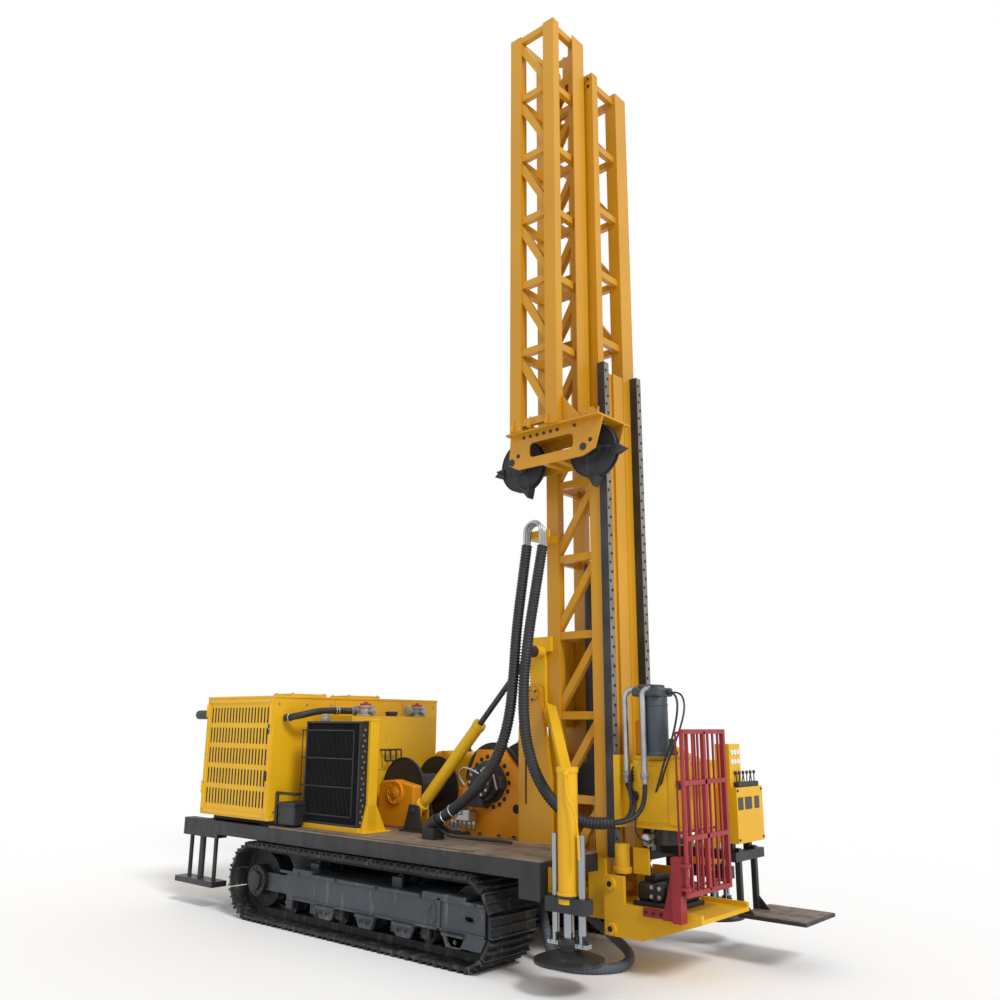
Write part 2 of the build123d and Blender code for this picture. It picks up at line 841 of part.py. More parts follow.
# Pedestal: two cheeks with a web, ears at the tilt pivot and brackets at the cylinder feet
pedestal_outline = [
    (pedestal_rear_x, deck_top),
    (pedestal_front_x, deck_top),
    (pedestal_front_x, deck_top + 480),
    (tilt_x + tilt_ear_radius, tilt_z - 60),
    (tilt_x + tilt_ear_radius, tilt_z),
    (tilt_x - tilt_ear_radius, tilt_z),
    (pedestal_rear_x, tilt_z - 260),
]
with BuildPart() as pedestal:
    for y in (pedestal_inner_y + pedestal_thickness, -pedestal_inner_y):
        with BuildSketch(Plane.XZ.offset(-y)):
            with BuildLine():
                Polyline(*pedestal_outline, close=True)
            make_face()
            with Locations((tilt_x, tilt_z)):
                Circle(tilt_ear_radius)
                Circle(tilt_pin_radius + seat_gap, mode=Mode.SUBTRACT)
        extrude(amount=pedestal_thickness)
    with Locations((pedestal_rear_x + 20, 0, (deck_top + pedestal_web_z) / 2)):
        Box(40, 2 * pedestal_inner_y, pedestal_web_z - deck_top)
    # Clevis brackets at the lift cylinder feet
    for side in (-1, 1):
        for offset in (-1, 1):
            y = side * lift_y + offset * (lift_eye_width / 2 + 4 + 10)
            with BuildSketch(Plane.XZ.offset(-y + 10)):
                with Locations((lift_foot_x, (lift_foot_z + deck_top) / 2)):
                    Rectangle(2 * lift_eye_radius + 30, lift_foot_z - deck_top)
                with Locations((lift_foot_x, lift_foot_z)):
                    Circle(lift_eye_radius)
                    Circle(lift_pin_radius + seat_gap, mode=Mode.SUBTRACT)
            extrude(amount=-20)
write(pedestal, "mast_pedestal")

# Lift cylinders: barrels hinge at their feet, rods run out to the carriage
lift_run = math.hypot(lift_eye_x - lift_foot_x, lift_eye_z - lift_foot_z)
lift_direction = Vector(lift_eye_x - lift_foot_x, 0, lift_eye_z - lift_foot_z).normalized()


def lift_plane(side, along):
    origin = Vector(lift_foot_x, side * lift_y, lift_foot_z) + lift_direction * along
    return Plane(origin=origin, x_dir=(0, 1, 0), z_dir=lift_direction)


with BuildPart() as lift_barrels:
    for side in (-1, 1):
        with BuildSketch(Plane.XZ.offset(-side * lift_y - lift_eye_width / 2)):
            with Locations((lift_foot_x, lift_foot_z)):
                Circle(lift_eye_radius - 4)
        extrude(amount=lift_eye_width)
        with BuildSketch(lift_plane(side, 30)):
            Circle(lift_neck_radius)
        extrude(amount=lift_neck_length)
        with BuildSketch(lift_plane(side, lift_neck_length)):
            Circle(lift_barrel_radius)
        extrude(amount=lift_barrel_length - lift_neck_length)
        with BuildSketch(Plane.XZ.offset(-side * lift_y - lift_eye_width / 2 - 26)):
            with Locations((lift_foot_x, lift_foot_z)):
                Circle(lift_pin_radius)
        extrude(amount=lift_eye_width + 52)
        with BuildSketch(lift_plane(side, 90)):
            Circle(lift_rod_radius + jack_rod_fit)
        extrude(amount=lift_barrel_length, mode=Mode.SUBTRACT)
write(lift_barrels, "lift_barrels")

with BuildPart() as lift_rods:
    for side in (-1, 1):
        with BuildSketch(lift_plane(side, 620)):
            Circle(lift_rod_radius)
        extrude(amount=lift_run - 620)
        with BuildSketch(Plane.XZ.offset(-side * lift_y - lift_eye_width / 2)):
            with Locations((lift_eye_x, lift_eye_z)):
                Circle(lift_eye_radius)
        extrude(amount=lift_eye_width)
        with BuildSketch(Plane.XZ.offset(-side * (lift_y + lift_eye_width / 2))):
            with Locations((lift_eye_x, lift_eye_z)):
                Circle(lift_pin_radius)
        extrude(amount=-side * lift_pin_head)
write(lift_rods, "lift_rods")

# Carriage: a box behind the mast that tilts on the pedestal and guides the mast's rear chords
with BuildPart() as carriage:
    with Locations(((carriage_rear_x + carriage_front_x) / 2, 0, (carriage_bottom + carriage_top) / 2)):
        Box(carriage_front_x - carriage_rear_x, 2 * carriage_half_width, carriage_top - carriage_bottom)
    with Locations(((carriage_rear_x + carriage_front_x) / 2, 0, (carriage_bottom + carriage_top) / 2)):
        Box(
            carriage_front_x - carriage_rear_x - 2 * carriage_wall,
            2 * (carriage_half_width - carriage_wall),
            carriage_top - carriage_bottom,
            mode=Mode.SUBTRACT,
        )
    # Guide claws beside the mast's rear chords
    claw_y = mast_half_width + seat_gap
    for z in (carriage_bottom + claw_height / 2, carriage_top - claw_height / 2):
        for side in (-1, 1):
            with Locations((carriage_front_x + claw_reach / 2 - 5, side * (claw_y + carriage_half_width) / 2, z)):
                Box(claw_reach + 10, carriage_half_width - claw_y, claw_height)
    # Pivot pins and the bosses of the cylinder eyes
    for side in (-1, 1):
        with BuildSketch(Plane.XZ.offset(-side * (carriage_half_width - carriage_wall))):
            with Locations((tilt_x, tilt_z)):
                Circle(tilt_pin_radius)
        extrude(amount=-side * (pedestal_inner_y + pedestal_thickness - carriage_half_width + carriage_wall))
        with BuildSketch(Plane.XZ.offset(-side * (carriage_half_width - carriage_wall))):
            with Locations((lift_eye_x, lift_eye_z)):
                Circle(lift_eye_radius)
        extrude(amount=-side * (lift_y - lift_eye_width / 2 - seat_gap - carriage_half_width + carriage_wall))
write(carriage, "mast_carriage")


# Lattice mast sections: four chords, level braces and diagonals, drawn face by face

# One brace of a face's sketch, from node to node
def brace(x1, z1, x2, z2):
    length = math.hypot(x2 - x1, z2 - z1)
    with Locations(((x1 + x2) / 2, (z1 + z2) / 2)):
        Rectangle(length, brace_width, rotation=math.degrees(math.atan2(z2 - z1, x2 - x1)))


# A section's chords and braces, level ones at each of the given heights. The bay at the fold hinge
# has no diagonal, and its end brace stands lower, to leave room for the lugs
def lattice(front_x, centre_y, foot, head, levels, near_rises_front, open_end):
    rear_node = mast_rear_x + chord_depth / 2
    front_node = front_x - chord_depth / 2
    with BuildPart() as section:
        for x in (rear_node, front_node):
            for side in (-1, 1):
                y = centre_y + side * (mast_half_width - chord_width / 2)
                with Locations((x, y, (foot + head) / 2)):
                    Box(chord_depth, chord_width, head - foot)
        # Near and far faces
        for side in (-1, 1):
            face_y = centre_y + side * (mast_half_width - chord_width / 2)
            with BuildSketch(Plane.XZ.offset(-face_y - brace_thickness / 2)):
                for z in levels:
                    drop = hinge_bay_drop if (side, z) == open_end else 0
                    brace(rear_node, z - drop, front_node, z - drop)
                rises_front = near_rises_front if side < 0 else not near_rises_front
                for low, high in zip(levels[:-1], levels[1:]):
                    if (side, high) == open_end:
                        continue
                    if rises_front:
                        brace(rear_node, low, front_node, high)
                    else:
                        brace(front_node, low, rear_node, high)
            extrude(amount=brace_thickness)
        # Rear and front faces
        for x in (rear_node, front_node):
            with BuildSketch(Plane.YZ.offset(x - brace_thickness / 2)):
                for z in levels:
                    with Locations((centre_y, z)):
                        Rectangle(2 * mast_half_width - chord_width, brace_width)
            extrude(amount=brace_thickness)
    return section


lower_levels = [mast_foot + lower_end + i * bay_height for i in range(lower_bays + 1)]
upper_levels = [upper_crown_z + upper_end + brace_width / 2 + i * upper_bay for i in range(upper_bays + 1)]

lug_outer_x = (mast_rear_x + chord_depth + 8, upper_front_x - chord_depth - 8)


# The rear faces of one section's two lugs, counted from the chords inwards
def fold_lugs(inset):
    return lug_outer_x[0] + inset, lug_outer_x[1] - inset - fold_lug_thickness


lower_lattice = lattice(mast_front_x, 0, mast_foot, lower_top, lower_levels, True, (-1, lower_levels[-1]))
with BuildPart() as lower_mast:
    add(lower_lattice.part)
    # The wide bright plate on the far side of the front face
    with Locations((mast_front_x - face_plate_thickness / 2, mast_half_width - face_plate_width / 2 + 88, (mast_foot + lower_top) / 2)):
        Box(face_plate_thickness, face_plate_width, lower_top - mast_foot)
    # Fold lugs on the near side
    for x in fold_lugs(0):
        with BuildSketch(Plane.YZ.offset(x)):
            with BuildLine():
                Polyline(
                    (fold_y - fold_lug_radius, fold_z),
                    (fold_y + fold_lug_radius, fold_z),
                    (-mast_half_width + chord_width, lower_top - 40),
                    (-mast_half_width + chord_width, lower_top - 330),
                    (-mast_half_width + 20, lower_top - 330),
                    (-mast_half_width, lower_top - 200),
                    close=True,
                )
            make_face()
            with Locations((fold_y, fold_z)):
                Circle(fold_lug_radius)
        extrude(amount=fold_lug_thickness)
    # Near end gusset between the lugs, joined to the chords
    with BuildSketch(Plane.XZ.offset(mast_half_width - chord_width + 10)):
        with Locations(((mast_rear_x + upper_front_x) / 2, lower_top - 160)):
            Rectangle(upper_front_x - mast_rear_x - chord_depth, 250)
            Circle(end_gusset_hole, mode=Mode.SUBTRACT)
    extrude(amount=10)
    for x in fold_lugs(0):
        with BuildSketch(Plane.YZ.offset(x)):
            with Locations((fold_y, fold_z)):
                Circle(fold_pin_radius + seat_gap)
        extrude(amount=fold_lug_thickness, mode=Mode.SUBTRACT)
write(lower_mast, "mast_lower")

upper_lattice = lattice(upper_front_x, upper_y, upper_crown_z, upper_base_z, upper_levels, False, (1, upper_levels[-1]))
with BuildPart() as upper_mast:
    add(upper_lattice.part)
    with Locations((upper_front_x - face_plate_thickness / 2, upper_y + mast_half_width - face_plate_width / 2, (upper_crown_z + upper_base_z) / 2)):
        Box(face_plate_thickness, face_plate_width, upper_base_z - upper_crown_z)
    for x in fold_lugs(fold_lug_thickness + fold_lug_gap):
        with BuildSketch(Plane.YZ.offset(x)):
            with BuildLine():
                Polyline(
                    (fold_y + fold_lug_radius, fold_z),
                    (fold_y - fold_lug_radius, fold_z),
                    (upper_y + mast_half_width - chord_width, fold_z + 60),
                    (upper_y + mast_half_width - chord_width, fold_z - 330),
                    (upper_y + mast_half_width - 20, fold_z - 330),
                    close=True,
                )
            make_face()
            with Locations((fold_y, fold_z)):
                Circle(fold_lug_radius)
        extrude(amount=fold_lug_thickness)
    with BuildSketch(Plane.XZ.offset(-(upper_y + mast_half_width - chord_width + 10))):
        with Locations(((mast_rear_x + upper_front_x) / 2, upper_base_z - 260)):
            Rectangle(upper_front_x - mast_rear_x - chord_depth, 300)
            Circle(end_gusset_hole, mode=Mode.SUBTRACT)
    extrude(amount=10)
    # Fold pins
    for low_x, high_x in (
        (lug_outer_x[0] - 6, lug_outer_x[0] + 2 * fold_lug_thickness + fold_lug_gap + 6),
        (lug_outer_x[1] - 2 * fold_lug_thickness - fold_lug_gap - 6, lug_outer_x[1] + 6),
    ):
        with BuildSketch(Plane.YZ.offset(low_x)):
            with Locations((fold_y, fold_z)):
                Circle(fold_pin_radius)
        extrude(amount=high_x - low_x)
write(upper_mast, "mast_upper")

# Crown: an end flange with two side plates that hold the sheaves below the folded section
crown_bottom = upper_crown_z - crown_drop
sheave_z = upper_crown_z - sheave_drop
crown_top = upper_crown_z - crown_flange
crown_half_width = mast_half_width - crown_inset
crown_outline = [
    (crown_rear_x, crown_top),
    (crown_front_x, crown_top),
    (sheave_front_x + 113, sheave_z - 30),
    (sheave_front_x - 5, crown_bottom),
    (sheave_rear_x + 70, crown_bottom),
    (sheave_rear_x - 32, sheave_z - 23),
]
with BuildPart() as crown:
    with Locations(((crown_rear_x + crown_front_x) / 2, upper_y, crown_top + crown_flange / 2)):
        Box(crown_front_x - crown_rear_x, 2 * crown_half_width, crown_flange)
    for side in (-1, 1):
        y = upper_y + side * crown_half_gap
        with BuildSketch(Plane.XZ.offset(-y - crown_plate_thickness / 2)):
            with BuildLine():
                Polyline(*crown_outline, close=True)
            make_face()
            with Locations(((sheave_front_x + sheave_rear_x) / 2 + 45, crown_window_z)):
                RectangleRounded(crown_window_length, crown_window_height, 40, mode=Mode.SUBTRACT)
            for x in (sheave_front_x, sheave_rear_x):
                with Locations((x, sheave_z)):
                    Circle(sheave_bore + seat_gap, mode=Mode.SUBTRACT)
        extrude(amount=crown_plate_thickness)
    for x in (sheave_rear_x + 300, sheave_front_x - 300):
        with Locations((x, upper_y, crown_bottom + 45)):
            Box(60, 2 * crown_half_gap - crown_plate_thickness, 50)
    # Slots in the flange over the sheaves
    for x in (sheave_front_x, sheave_rear_x):
        with Locations((x, upper_y, crown_top + crown_flange / 2)):
            Box(2 * crown_slot_half, sheave_width + 30, crown_flange, mode=Mode.SUBTRACT)
    # Lug with a hole on the flange's front corner
    with BuildSketch(Plane.XZ.offset(-upper_y + crown_half_gap - crown_plate_thickness)):
        with Locations((crown_front_x - 2 * crown_lug_radius, crown_top + crown_flange)):
            Circle(crown_lug_radius)
        with Locations((crown_front_x - 2 * crown_lug_radius, crown_top - crown_lug_radius)):
            Rectangle(2 * crown_lug_radius, 2 * crown_lug_radius, mode=Mode.SUBTRACT)
        with Locations((crown_front_x - 2 * crown_lug_radius, crown_top + crown_flange + 12)):
            Circle(crown_lug_hole / 2, mode=Mode.SUBTRACT)
    extrude(amount=2 * crown_plate_thickness)
write(crown, "mast_crown")

for name, x in (("sheave_front", sheave_front_x), ("sheave_rear", sheave_rear_x)):
    with BuildPart() as sheave:
        with BuildSketch(Plane.XZ.offset(-upper_y - sheave_width / 2)):
            with Locations((x, sheave_z)):
                Circle(sheave_radius)
        extrude(amount=sheave_width)
        with BuildSketch(Plane.YZ.offset(x)):
            with BuildLine():
                Polyline(
                    (upper_y - sheave_width / 2 + 8, sheave_z + sheave_radius + 1),
                    (upper_y + sheave_width / 2 - 8, sheave_z + sheave_radius + 1),
                    (upper_y + 8, sheave_z + sheave_radius - 30),
                    (upper_y - 8, sheave_z + sheave_radius - 30),
                    close=True,
                )
            make_face()
        revolve(axis=Axis((x, upper_y, sheave_z), (0, 1, 0)), mode=Mode.SUBTRACT)
        axle_half = crown_half_gap + crown_plate_thickness
        with BuildSketch(Plane.XZ.offset(-upper_y - axle_half)):
            with Locations((x, sheave_z)):
                Circle(sheave_bore)
        extrude(amount=2 * axle_half)
    write(sheave, name)

# Feed rails on the front edges of the lower section
with BuildPart() as rails:
    for y in (rail_near_y, rail_far_y):
        with Locations((mast_front_x + rail_depth / 2, y, (rail_foot + rail_head) / 2)):
            Box(rail_depth, rail_width, rail_head - rail_foot)
write(rails, "feed_rails")

# Drill head: a slide plate on the rails, a gear case with a bore, and a motor beside the spindle
slide_x = mast_front_x + rail_depth + seat_gap
with BuildPart() as head:
    with Locations((slide_x + head_plate / 2, (rail_near_y + rail_far_y) / 2, head_bottom + head_height / 2)):
        Box(head_plate, rail_far_y - rail_near_y + rail_width, head_height)
    with BuildSketch(Plane.XY.offset(head_bottom + 80)):
        with Locations((bore_x, 0)):
            Circle(head_radius)
        with Locations(((slide_x + bore_x) / 2, 0)):
            Rectangle(bore_x - slide_x, 2 * head_radius)
    extrude(amount=head_height - 80)
    with BuildSketch(Plane.XY.offset(head_bottom)):
        with Locations((bore_x, 0)):
            Circle(spindle_radius + 45)
    extrude(amount=80)
    with BuildSketch(Plane.XY.offset(head_bottom)):
        with Locations((bore_x, 0)):
            Circle(spindle_radius + seat_gap)
    extrude(amount=head_height, mode=Mode.SUBTRACT)
write(head, "head_gearbox")

with BuildPart() as head_motor:
    with BuildSketch(Plane.XY.offset(head_bottom + head_height)):
        with Locations((head_motor_x, head_motor_y)):
            Circle(head_motor_radius)
    extrude(amount=head_motor_height)
    # Port block on top, reaching nearer where the second pipe enters
    block_near_y = pipe_a[1] - motor_block_rise
    block_far_y = head_motor_y + head_motor_radius
    block_bottom = head_bottom + head_height + head_motor_height
    block_top = pipe_top_z + motor_block_rise
    with Locations((head_motor_x, (block_near_y + block_far_y) / 2, (block_bottom + block_top) / 2)):
        Box(2 * motor_block_half, block_far_y - block_near_y, block_top - block_bottom)
    port_near_y = pipe_b[1] - motor_block_rise
    with Locations((head_motor_x + (pipe_entry_x + motor_block_half) / 2, (port_near_y + block_near_y) / 2, pipe_top_z)):
        Box(motor_block_half - pipe_entry_x, block_near_y - port_near_y, 2 * motor_block_rise)
write(head_motor, "head_motor")

with BuildPart() as spindle:
    with BuildSketch(Plane.XY.offset(head_bottom - 120)):
        with Locations((bore_x, 0)):
            Circle(spindle_radius)
            Circle(bore_radius, mode=Mode.SUBTRACT)
    extrude(amount=spindle_length)
write(spindle, "head_spindle")

# Foot table: side plates, a top plate with the rod hole and a nose
table_outline = [
    (table_rear_x, table_shoulder_z),
    (table_shoulder_x, table_shoulder_z),
    (table_shoulder_x, table_top),
    (table_front_x, table_top),
    (table_front_x, table_top - table_edge),
    (table_nose_x, table_bottom),
    (table_rear_x, table_bottom),
]
heel_outer_y = mast_half_width + face_plate_thickness + seat_gap + table_plate
with BuildPart() as table:
    for y in (table_half_width, -table_half_width + table_plate):
        with BuildSketch(Plane.XZ.offset(-y)):
            with BuildLine():
                Polyline(*table_outline, close=True)
            make_face()
        extrude(amount=table_plate)
    with Locations(((mast_rear_x + table_rear_x) / 2, 0, mast_foot - table_plate / 2)):
        Box(table_rear_x - mast_rear_x, 2 * heel_outer_y, table_plate)
    with Locations(((table_rear_x + table_front_x) / 2, 0, mast_foot - table_plate / 2)):
        Box(table_front_x - table_rear_x, 2 * table_half_width, table_plate)
    # Heel plates on the sides of the mast's foot
    heel_front_x = mast_front_x - face_plate_thickness - seat_gap
    for side in (-1, 1):
        with Locations(((heel_rear_x + heel_front_x) / 2, side * (heel_outer_y - table_plate / 2), (heel_bottom + heel_top) / 2)):
            Box(heel_front_x - heel_rear_x, table_plate, heel_top - heel_bottom)
    with BuildSketch(Plane.XY.offset(mast_foot - 40)):
        with Locations((bore_x, 0)):
            Circle(bore_radius + 40)
    extrude(amount=100, mode=Mode.SUBTRACT)
    for z in table_boss_z:
        with BuildSketch(Plane.XZ.offset(table_half_width)):
            with Locations((table_boss_x, z)):
                Circle(table_boss_radius)
        extrude(amount=table_boss_height)
write(table, "foot_table")

with BuildPart() as holder:
    with Locations((bore_x, 0, mast_foot + holder_height / 2)):
        Box(2 * holder_half_length, 2 * holder_half_width, holder_height)
    with BuildSketch(Plane.XY.offset(mast_foot)):
        with Locations((bore_x, 0)):
            Circle(bore_radius)
    extrude(amount=holder_height, mode=Mode.SUBTRACT)
write(holder, "rod_holder")

# Safety cage: a framed grille hinged at a bracket on the near side of the table
cage_far_y = cage_near_y + cage_width
with BuildPart() as cage:
    with BuildSketch(Plane.XY.offset(cage_bottom)):
        with Locations((cage_x, cage_near_y)):
            Circle(cage_tube / 2)
    extrude(amount=cage_top - cage_bottom)
    with Locations((cage_x, cage_far_y, (cage_bottom + cage_top) / 2)):
        Box(cage_tube, cage_tube, cage_top - cage_bottom)
    for z in (cage_bottom + cage_tube / 2, cage_bottom + cage_width * 0.63, cage_bottom + cage_width * 1.24, cage_top - cage_tube / 2):
        with Locations((cage_x, (cage_near_y + cage_far_y) / 2, z)):
            Box(cage_tube, cage_width, cage_tube)
    for i in range(cage_bar_count):
        y = cage_near_y + (i + 1) * cage_width / (cage_bar_count + 1)
        with Locations((cage_x, y, (cage_bottom + cage_top) / 2)):
            Box(cage_bar, cage_bar, cage_top - cage_bottom - cage_tube)
write(cage, "safety_cage")

# A bar bolted to the table, a gusset up to the post, and two lugs from the post to the cage
with BuildPart() as bracket:
    bar_y = -table_half_width - bracket_plate
    with Locations(((bracket_bar_rear_x + bracket_bar_front_x) / 2, bar_y + bracket_plate / 2, (bracket_bar_bottom + bracket_bar_top) / 2)):
        Box(bracket_bar_front_x - bracket_bar_rear_x, bracket_plate, bracket_bar_top - bracket_bar_bottom)
    with BuildSketch(Plane.XZ.offset(-bar_y)):
        with BuildLine():
            Polyline(
                (bracket_gusset_x, bracket_bar_bottom),
                (bracket_post_rear_x + bracket_post_width, bracket_bar_bottom),
                (bracket_post_rear_x + bracket_post_width, bracket_post_top),
                (bracket_post_rear_x, bracket_post_top),
                close=True,
            )
        make_face()
    extrude(amount=bracket_plate)
    with Locations((bracket_post_rear_x + bracket_post_width / 2, cage_near_y, (bracket_bar_bottom + bracket_post_top) / 2)):
        Box(bracket_post_width, bracket_post_width, bracket_post_top - bracket_bar_bottom)
    lug_rear_x = bracket_post_rear_x + bracket_post_width
    for z in cage_lug_z:
        with Locations(((lug_rear_x + cage_x) / 2, cage_near_y, z)):
            Box(cage_x - lug_rear_x, 2 * cage_tube, cage_lug_thickness)
        with BuildSketch(Plane.XY.offset(z - cage_lug_thickness / 2)):
            with Locations((cage_x, cage_near_y)):
                Circle(cage_tube)
        extrude(amount=cage_lug_thickness)
    with BuildSketch(Plane.XY.offset(bracket_bar_bottom)):
        with Locations((cage_x, cage_near_y)):
            Circle(cage_tube / 2 + seat_gap)
    extrude(amount=cage_top, mode=Mode.SUBTRACT)
write(bracket, "cage_bracket")

# Control console on an arm from the deck, with a step hung below it
with BuildPart() as console_frame:
    with Locations(((deck_front_x + step_rear_x) / 2, console_arm_y, deck_top - console_arm_drop)):
        Box(step_rear_x - deck_front_x, beam_size, beam_size)
    beam_near_y = console_near_y + console_beam_near_inset
    beam_far_y = console_far_y + console_beam_far_reach
    with Locations((step_rear_x, (beam_near_y + beam_far_y) / 2, deck_top - console_arm_drop)):
        Box(beam_size, beam_far_y - beam_near_y, beam_size)
    for y in [step_near_y + inset for inset in step_post_insets]:
        with Locations((step_rear_x + beam_size / 2 - 20, y, (deck_top + step_z) / 2)):
            Box(40, 40, deck_top - step_z)
    for y in (beam_near_y + 40, console_far_y - 60):
        with Locations((console_x + 50, y, (deck_top - console_arm_drop + console_bottom) / 2)):
            Box(console_post_size, console_post_size, console_bottom - deck_top + console_arm_drop)
write(console_frame, "console_frame")

with BuildPart() as console:
    with Locations((console_x + console_depth / 2, (console_near_y + console_far_y) / 2, (console_bottom + console_top) / 2)):
        Box(console_depth, console_far_y - console_near_y, console_top - console_bottom)
    with Locations((console_x + 60, console_near_y + console_box_inset, console_top + 160)):
        Box(120, 180, 320)
write(console, "control_console")

with BuildPart() as step_plate:
    with Locations(((step_rear_x + step_front_x) / 2, (step_near_y + step_far_y) / 2, step_z - step_thickness / 2)):
        Box(step_front_x - step_rear_x, step_far_y - step_near_y, step_thickness)
write(step_plate, "step_platform")

# Front jacks: fixed barrel with clamps and guide sleeves, and a sliding rod with its foot
with BuildPart() as jack_right:
    with BuildSketch(Plane.XY.offset(jack_barrel_bottom)):
        with Locations((jack_x, -jack_y)):
            Circle(jack_barrel_radius)
            Circle(jack_rod_radius + jack_rod_fit, mode=Mode.SUBTRACT)
    extrude(amount=jack_barrel_top - jack_barrel_bottom - 30)
    with BuildSketch(Plane.XY.offset(jack_barrel_top - 30)):
        with Locations((jack_x, -jack_y)):
            Circle(jack_barrel_radius)
    extrude(amount=30)
    with BuildSketch(Plane.XY.offset(jack_clamp_bottom)):
        with Locations((jack_x, -jack_y)):
            Rectangle(2 * jack_clamp_reach, jack_clamp_width)
        for offset in jack_guide_offsets:
            with Locations((jack_x + offset, -jack_y)):
                Circle(jack_guide_radius + jack_rod_fit, mode=Mode.SUBTRACT)
        with Locations((jack_x, -jack_y)):
            Circle(jack_rod_radius + jack_rod_fit, mode=Mode.SUBTRACT)
    extrude(amount=jack_clamp_height)
    # Bracket from the deck's front, behind the rear guide tube
    with Locations(((deck_front_x + jack_x) / 2, -jack_y + jack_bracket_inset, deck_top - jack_bracket_drop)):
        Box(jack_x - deck_front_x, jack_bracket_width, jack_bracket_height)
    # Strut from the jack's head to the pedestal's cheek
    strut_top = Vector(strut_top_x, -pedestal_inner_y - pedestal_thickness + strut_width, strut_top_z)
    strut_foot = Vector(jack_x, -jack_y, jack_barrel_top - strut_drop)
    with BuildSketch(Plane(origin=strut_foot, x_dir=(0, 0, 1), z_dir=strut_top - strut_foot)):
        Rectangle(strut_width, strut_width)
    extrude(amount=(strut_top - strut_foot).length)
    strut_room = pedestal_inner_y + pedestal_thickness + seat_gap
    with Locations((strut_top_x, 0, strut_top_z)):
        Box(4 * strut_width, 2 * strut_room, 6 * strut_width, mode=Mode.SUBTRACT)
    with BuildSketch(Plane.XY.offset(jack_barrel_bottom)):
        with Locations((jack_x, -jack_y)):
            Circle(jack_rod_radius + jack_rod_fit)
    extrude(amount=jack_barrel_top - jack_barrel_bottom - 30, mode=Mode.SUBTRACT)
write(jack_right, "front_jack_right")
jack_left = mirrored(jack_right)
write(jack_left, "front_jack_left")

dish_top = jack_foot_bottom + jack_foot_height
with BuildPart() as dish_right:
    with BuildSketch(Plane.XZ.offset(jack_y)):
        with BuildLine():
            Polyline(
                (jack_x, jack_foot_bottom),
                (jack_x + jack_foot_radius, jack_foot_bottom),
                (jack_x + jack_foot_radius, jack_foot_bottom + jack_foot_rim),
                (jack_x + jack_socket_radius, dish_top - jack_foot_rim),
                (jack_x + jack_socket_radius, dish_top),
                (jack_x, dish_top),
                close=True,
            )
        make_face()
    revolve(axis=Axis((jack_x, -jack_y, 0), (0, 0, 1)))
write(dish_right, "front_dish_right")
dish_left = mirrored(dish_right)
write(dish_left, "front_dish_left")

with BuildPart() as jack_foot_right:
    with BuildSketch(Plane.XY.offset(dish_top)):
        with Locations((jack_x, -jack_y)):
            Circle(jack_rod_radius)
    extrude(amount=jack_rod_length)
    with Locations((jack_x, -jack_y, dish_top + foot_bar_height / 2)):
        Box(2 * jack_clamp_reach, foot_bar_width, foot_bar_height)
    for offset in jack_guide_offsets:
        with BuildSketch(Plane.XY.offset(dish_top)):
            with Locations((jack_x + offset, -jack_y)):
                Circle(jack_guide_radius)
        extrude(amount=jack_guide_top - dish_top)
write(jack_foot_right, "front_foot_right")
jack_foot_left = mirrored(jack_foot_right)
write(jack_foot_left, "front_foot_left")

# Rear jacks: rod and two guides down to one long foot
with BuildPart() as rear_foot_right:
    with Locations(((rear_foot_rear_x + rear_foot_front_x) / 2, -jack_y, jack_foot_bottom + 25)):
        Box(rear_foot_front_x - rear_foot_rear_x, rear_foot_width, 50)
    for x, radius in ((rear_jack_x, rear_rod_radius), (rear_guide_x[0], rear_guide_radius), (rear_guide_x[1], rear_guide_radius)):
        with BuildSketch(Plane.XY.offset(jack_foot_bottom + 50)):
            with Locations((x, -jack_y)):
                Circle(radius)
        extrude(amount=rear_block_top - jack_foot_bottom - 60)
write(rear_foot_right, "rear_foot_right")
rear_foot_left = mirrored(rear_foot_right)
write(rear_foot_left, "rear_foot_left")

# Hose bundles: a sleeve of hoses from the deck and one to the head hang from a bracket on the mast,
# joined over it by bent tubes. Each path is straight runs with arcs between them


def hose(points, radius):
    bends = []
    for before, here, after in zip(points[:-2], points[1:-1], points[2:]):
        come, go = Vector(here) - Vector(before), Vector(after) - Vector(here)
        half_turn = math.radians(come.get_angle(go)) / 2
        bends.append(0.45 * min(come.length, go.length) / math.tan(half_turn))
    print("bend radii", [round(bend) for bend in bends])
    with BuildPart() as tube:
        with BuildLine() as path:
            FilletPolyline(*points, radius=bends)
        start = Plane(origin=path.line @ 0, z_dir=path.line % 0)
        with BuildSketch(start):
            Circle(radius)
        sweep(path=path.line)
    print("volume", round(tube.part.volume), "section times length", round(math.pi * radius**2 * sum(edge.length for edge in path.line.edges())))
    return tube


deck_bundle_route = [
    (deck_end_x, elbow_near_y, bundle_top_z),
    (1168, -575, 2800),
    (1131, -598, 2440),
    (1122, -620, 2080),
    (1098, -642, 1760),
    (1010, -664, 1485),
    (830, -682, 1255),
    (600, -696, 1075),
    (400, -704, 965),
]
head_bundle_route = [
    (head_end_x, elbow_near_y, bundle_top_z - head_end_drop),
    (1318, -576, 2790),
    (1258, -598, 2420),
    (1222, -620, 2040),
    (1250, -645, 1680),
    (1350, -662, 1395),
    (1505, -664, 1190),
    (1680, -635, 1065),
    (1835, -565, 1020),
    (1955, -470, 1035),
]
deck_bundle = hose(deck_bundle_route, bundle_radius)
write(deck_bundle, "deck_hose_bundle")
head_bundle = hose(head_bundle_route, bundle_radius)
write(head_bundle, "head_hose_bundle")

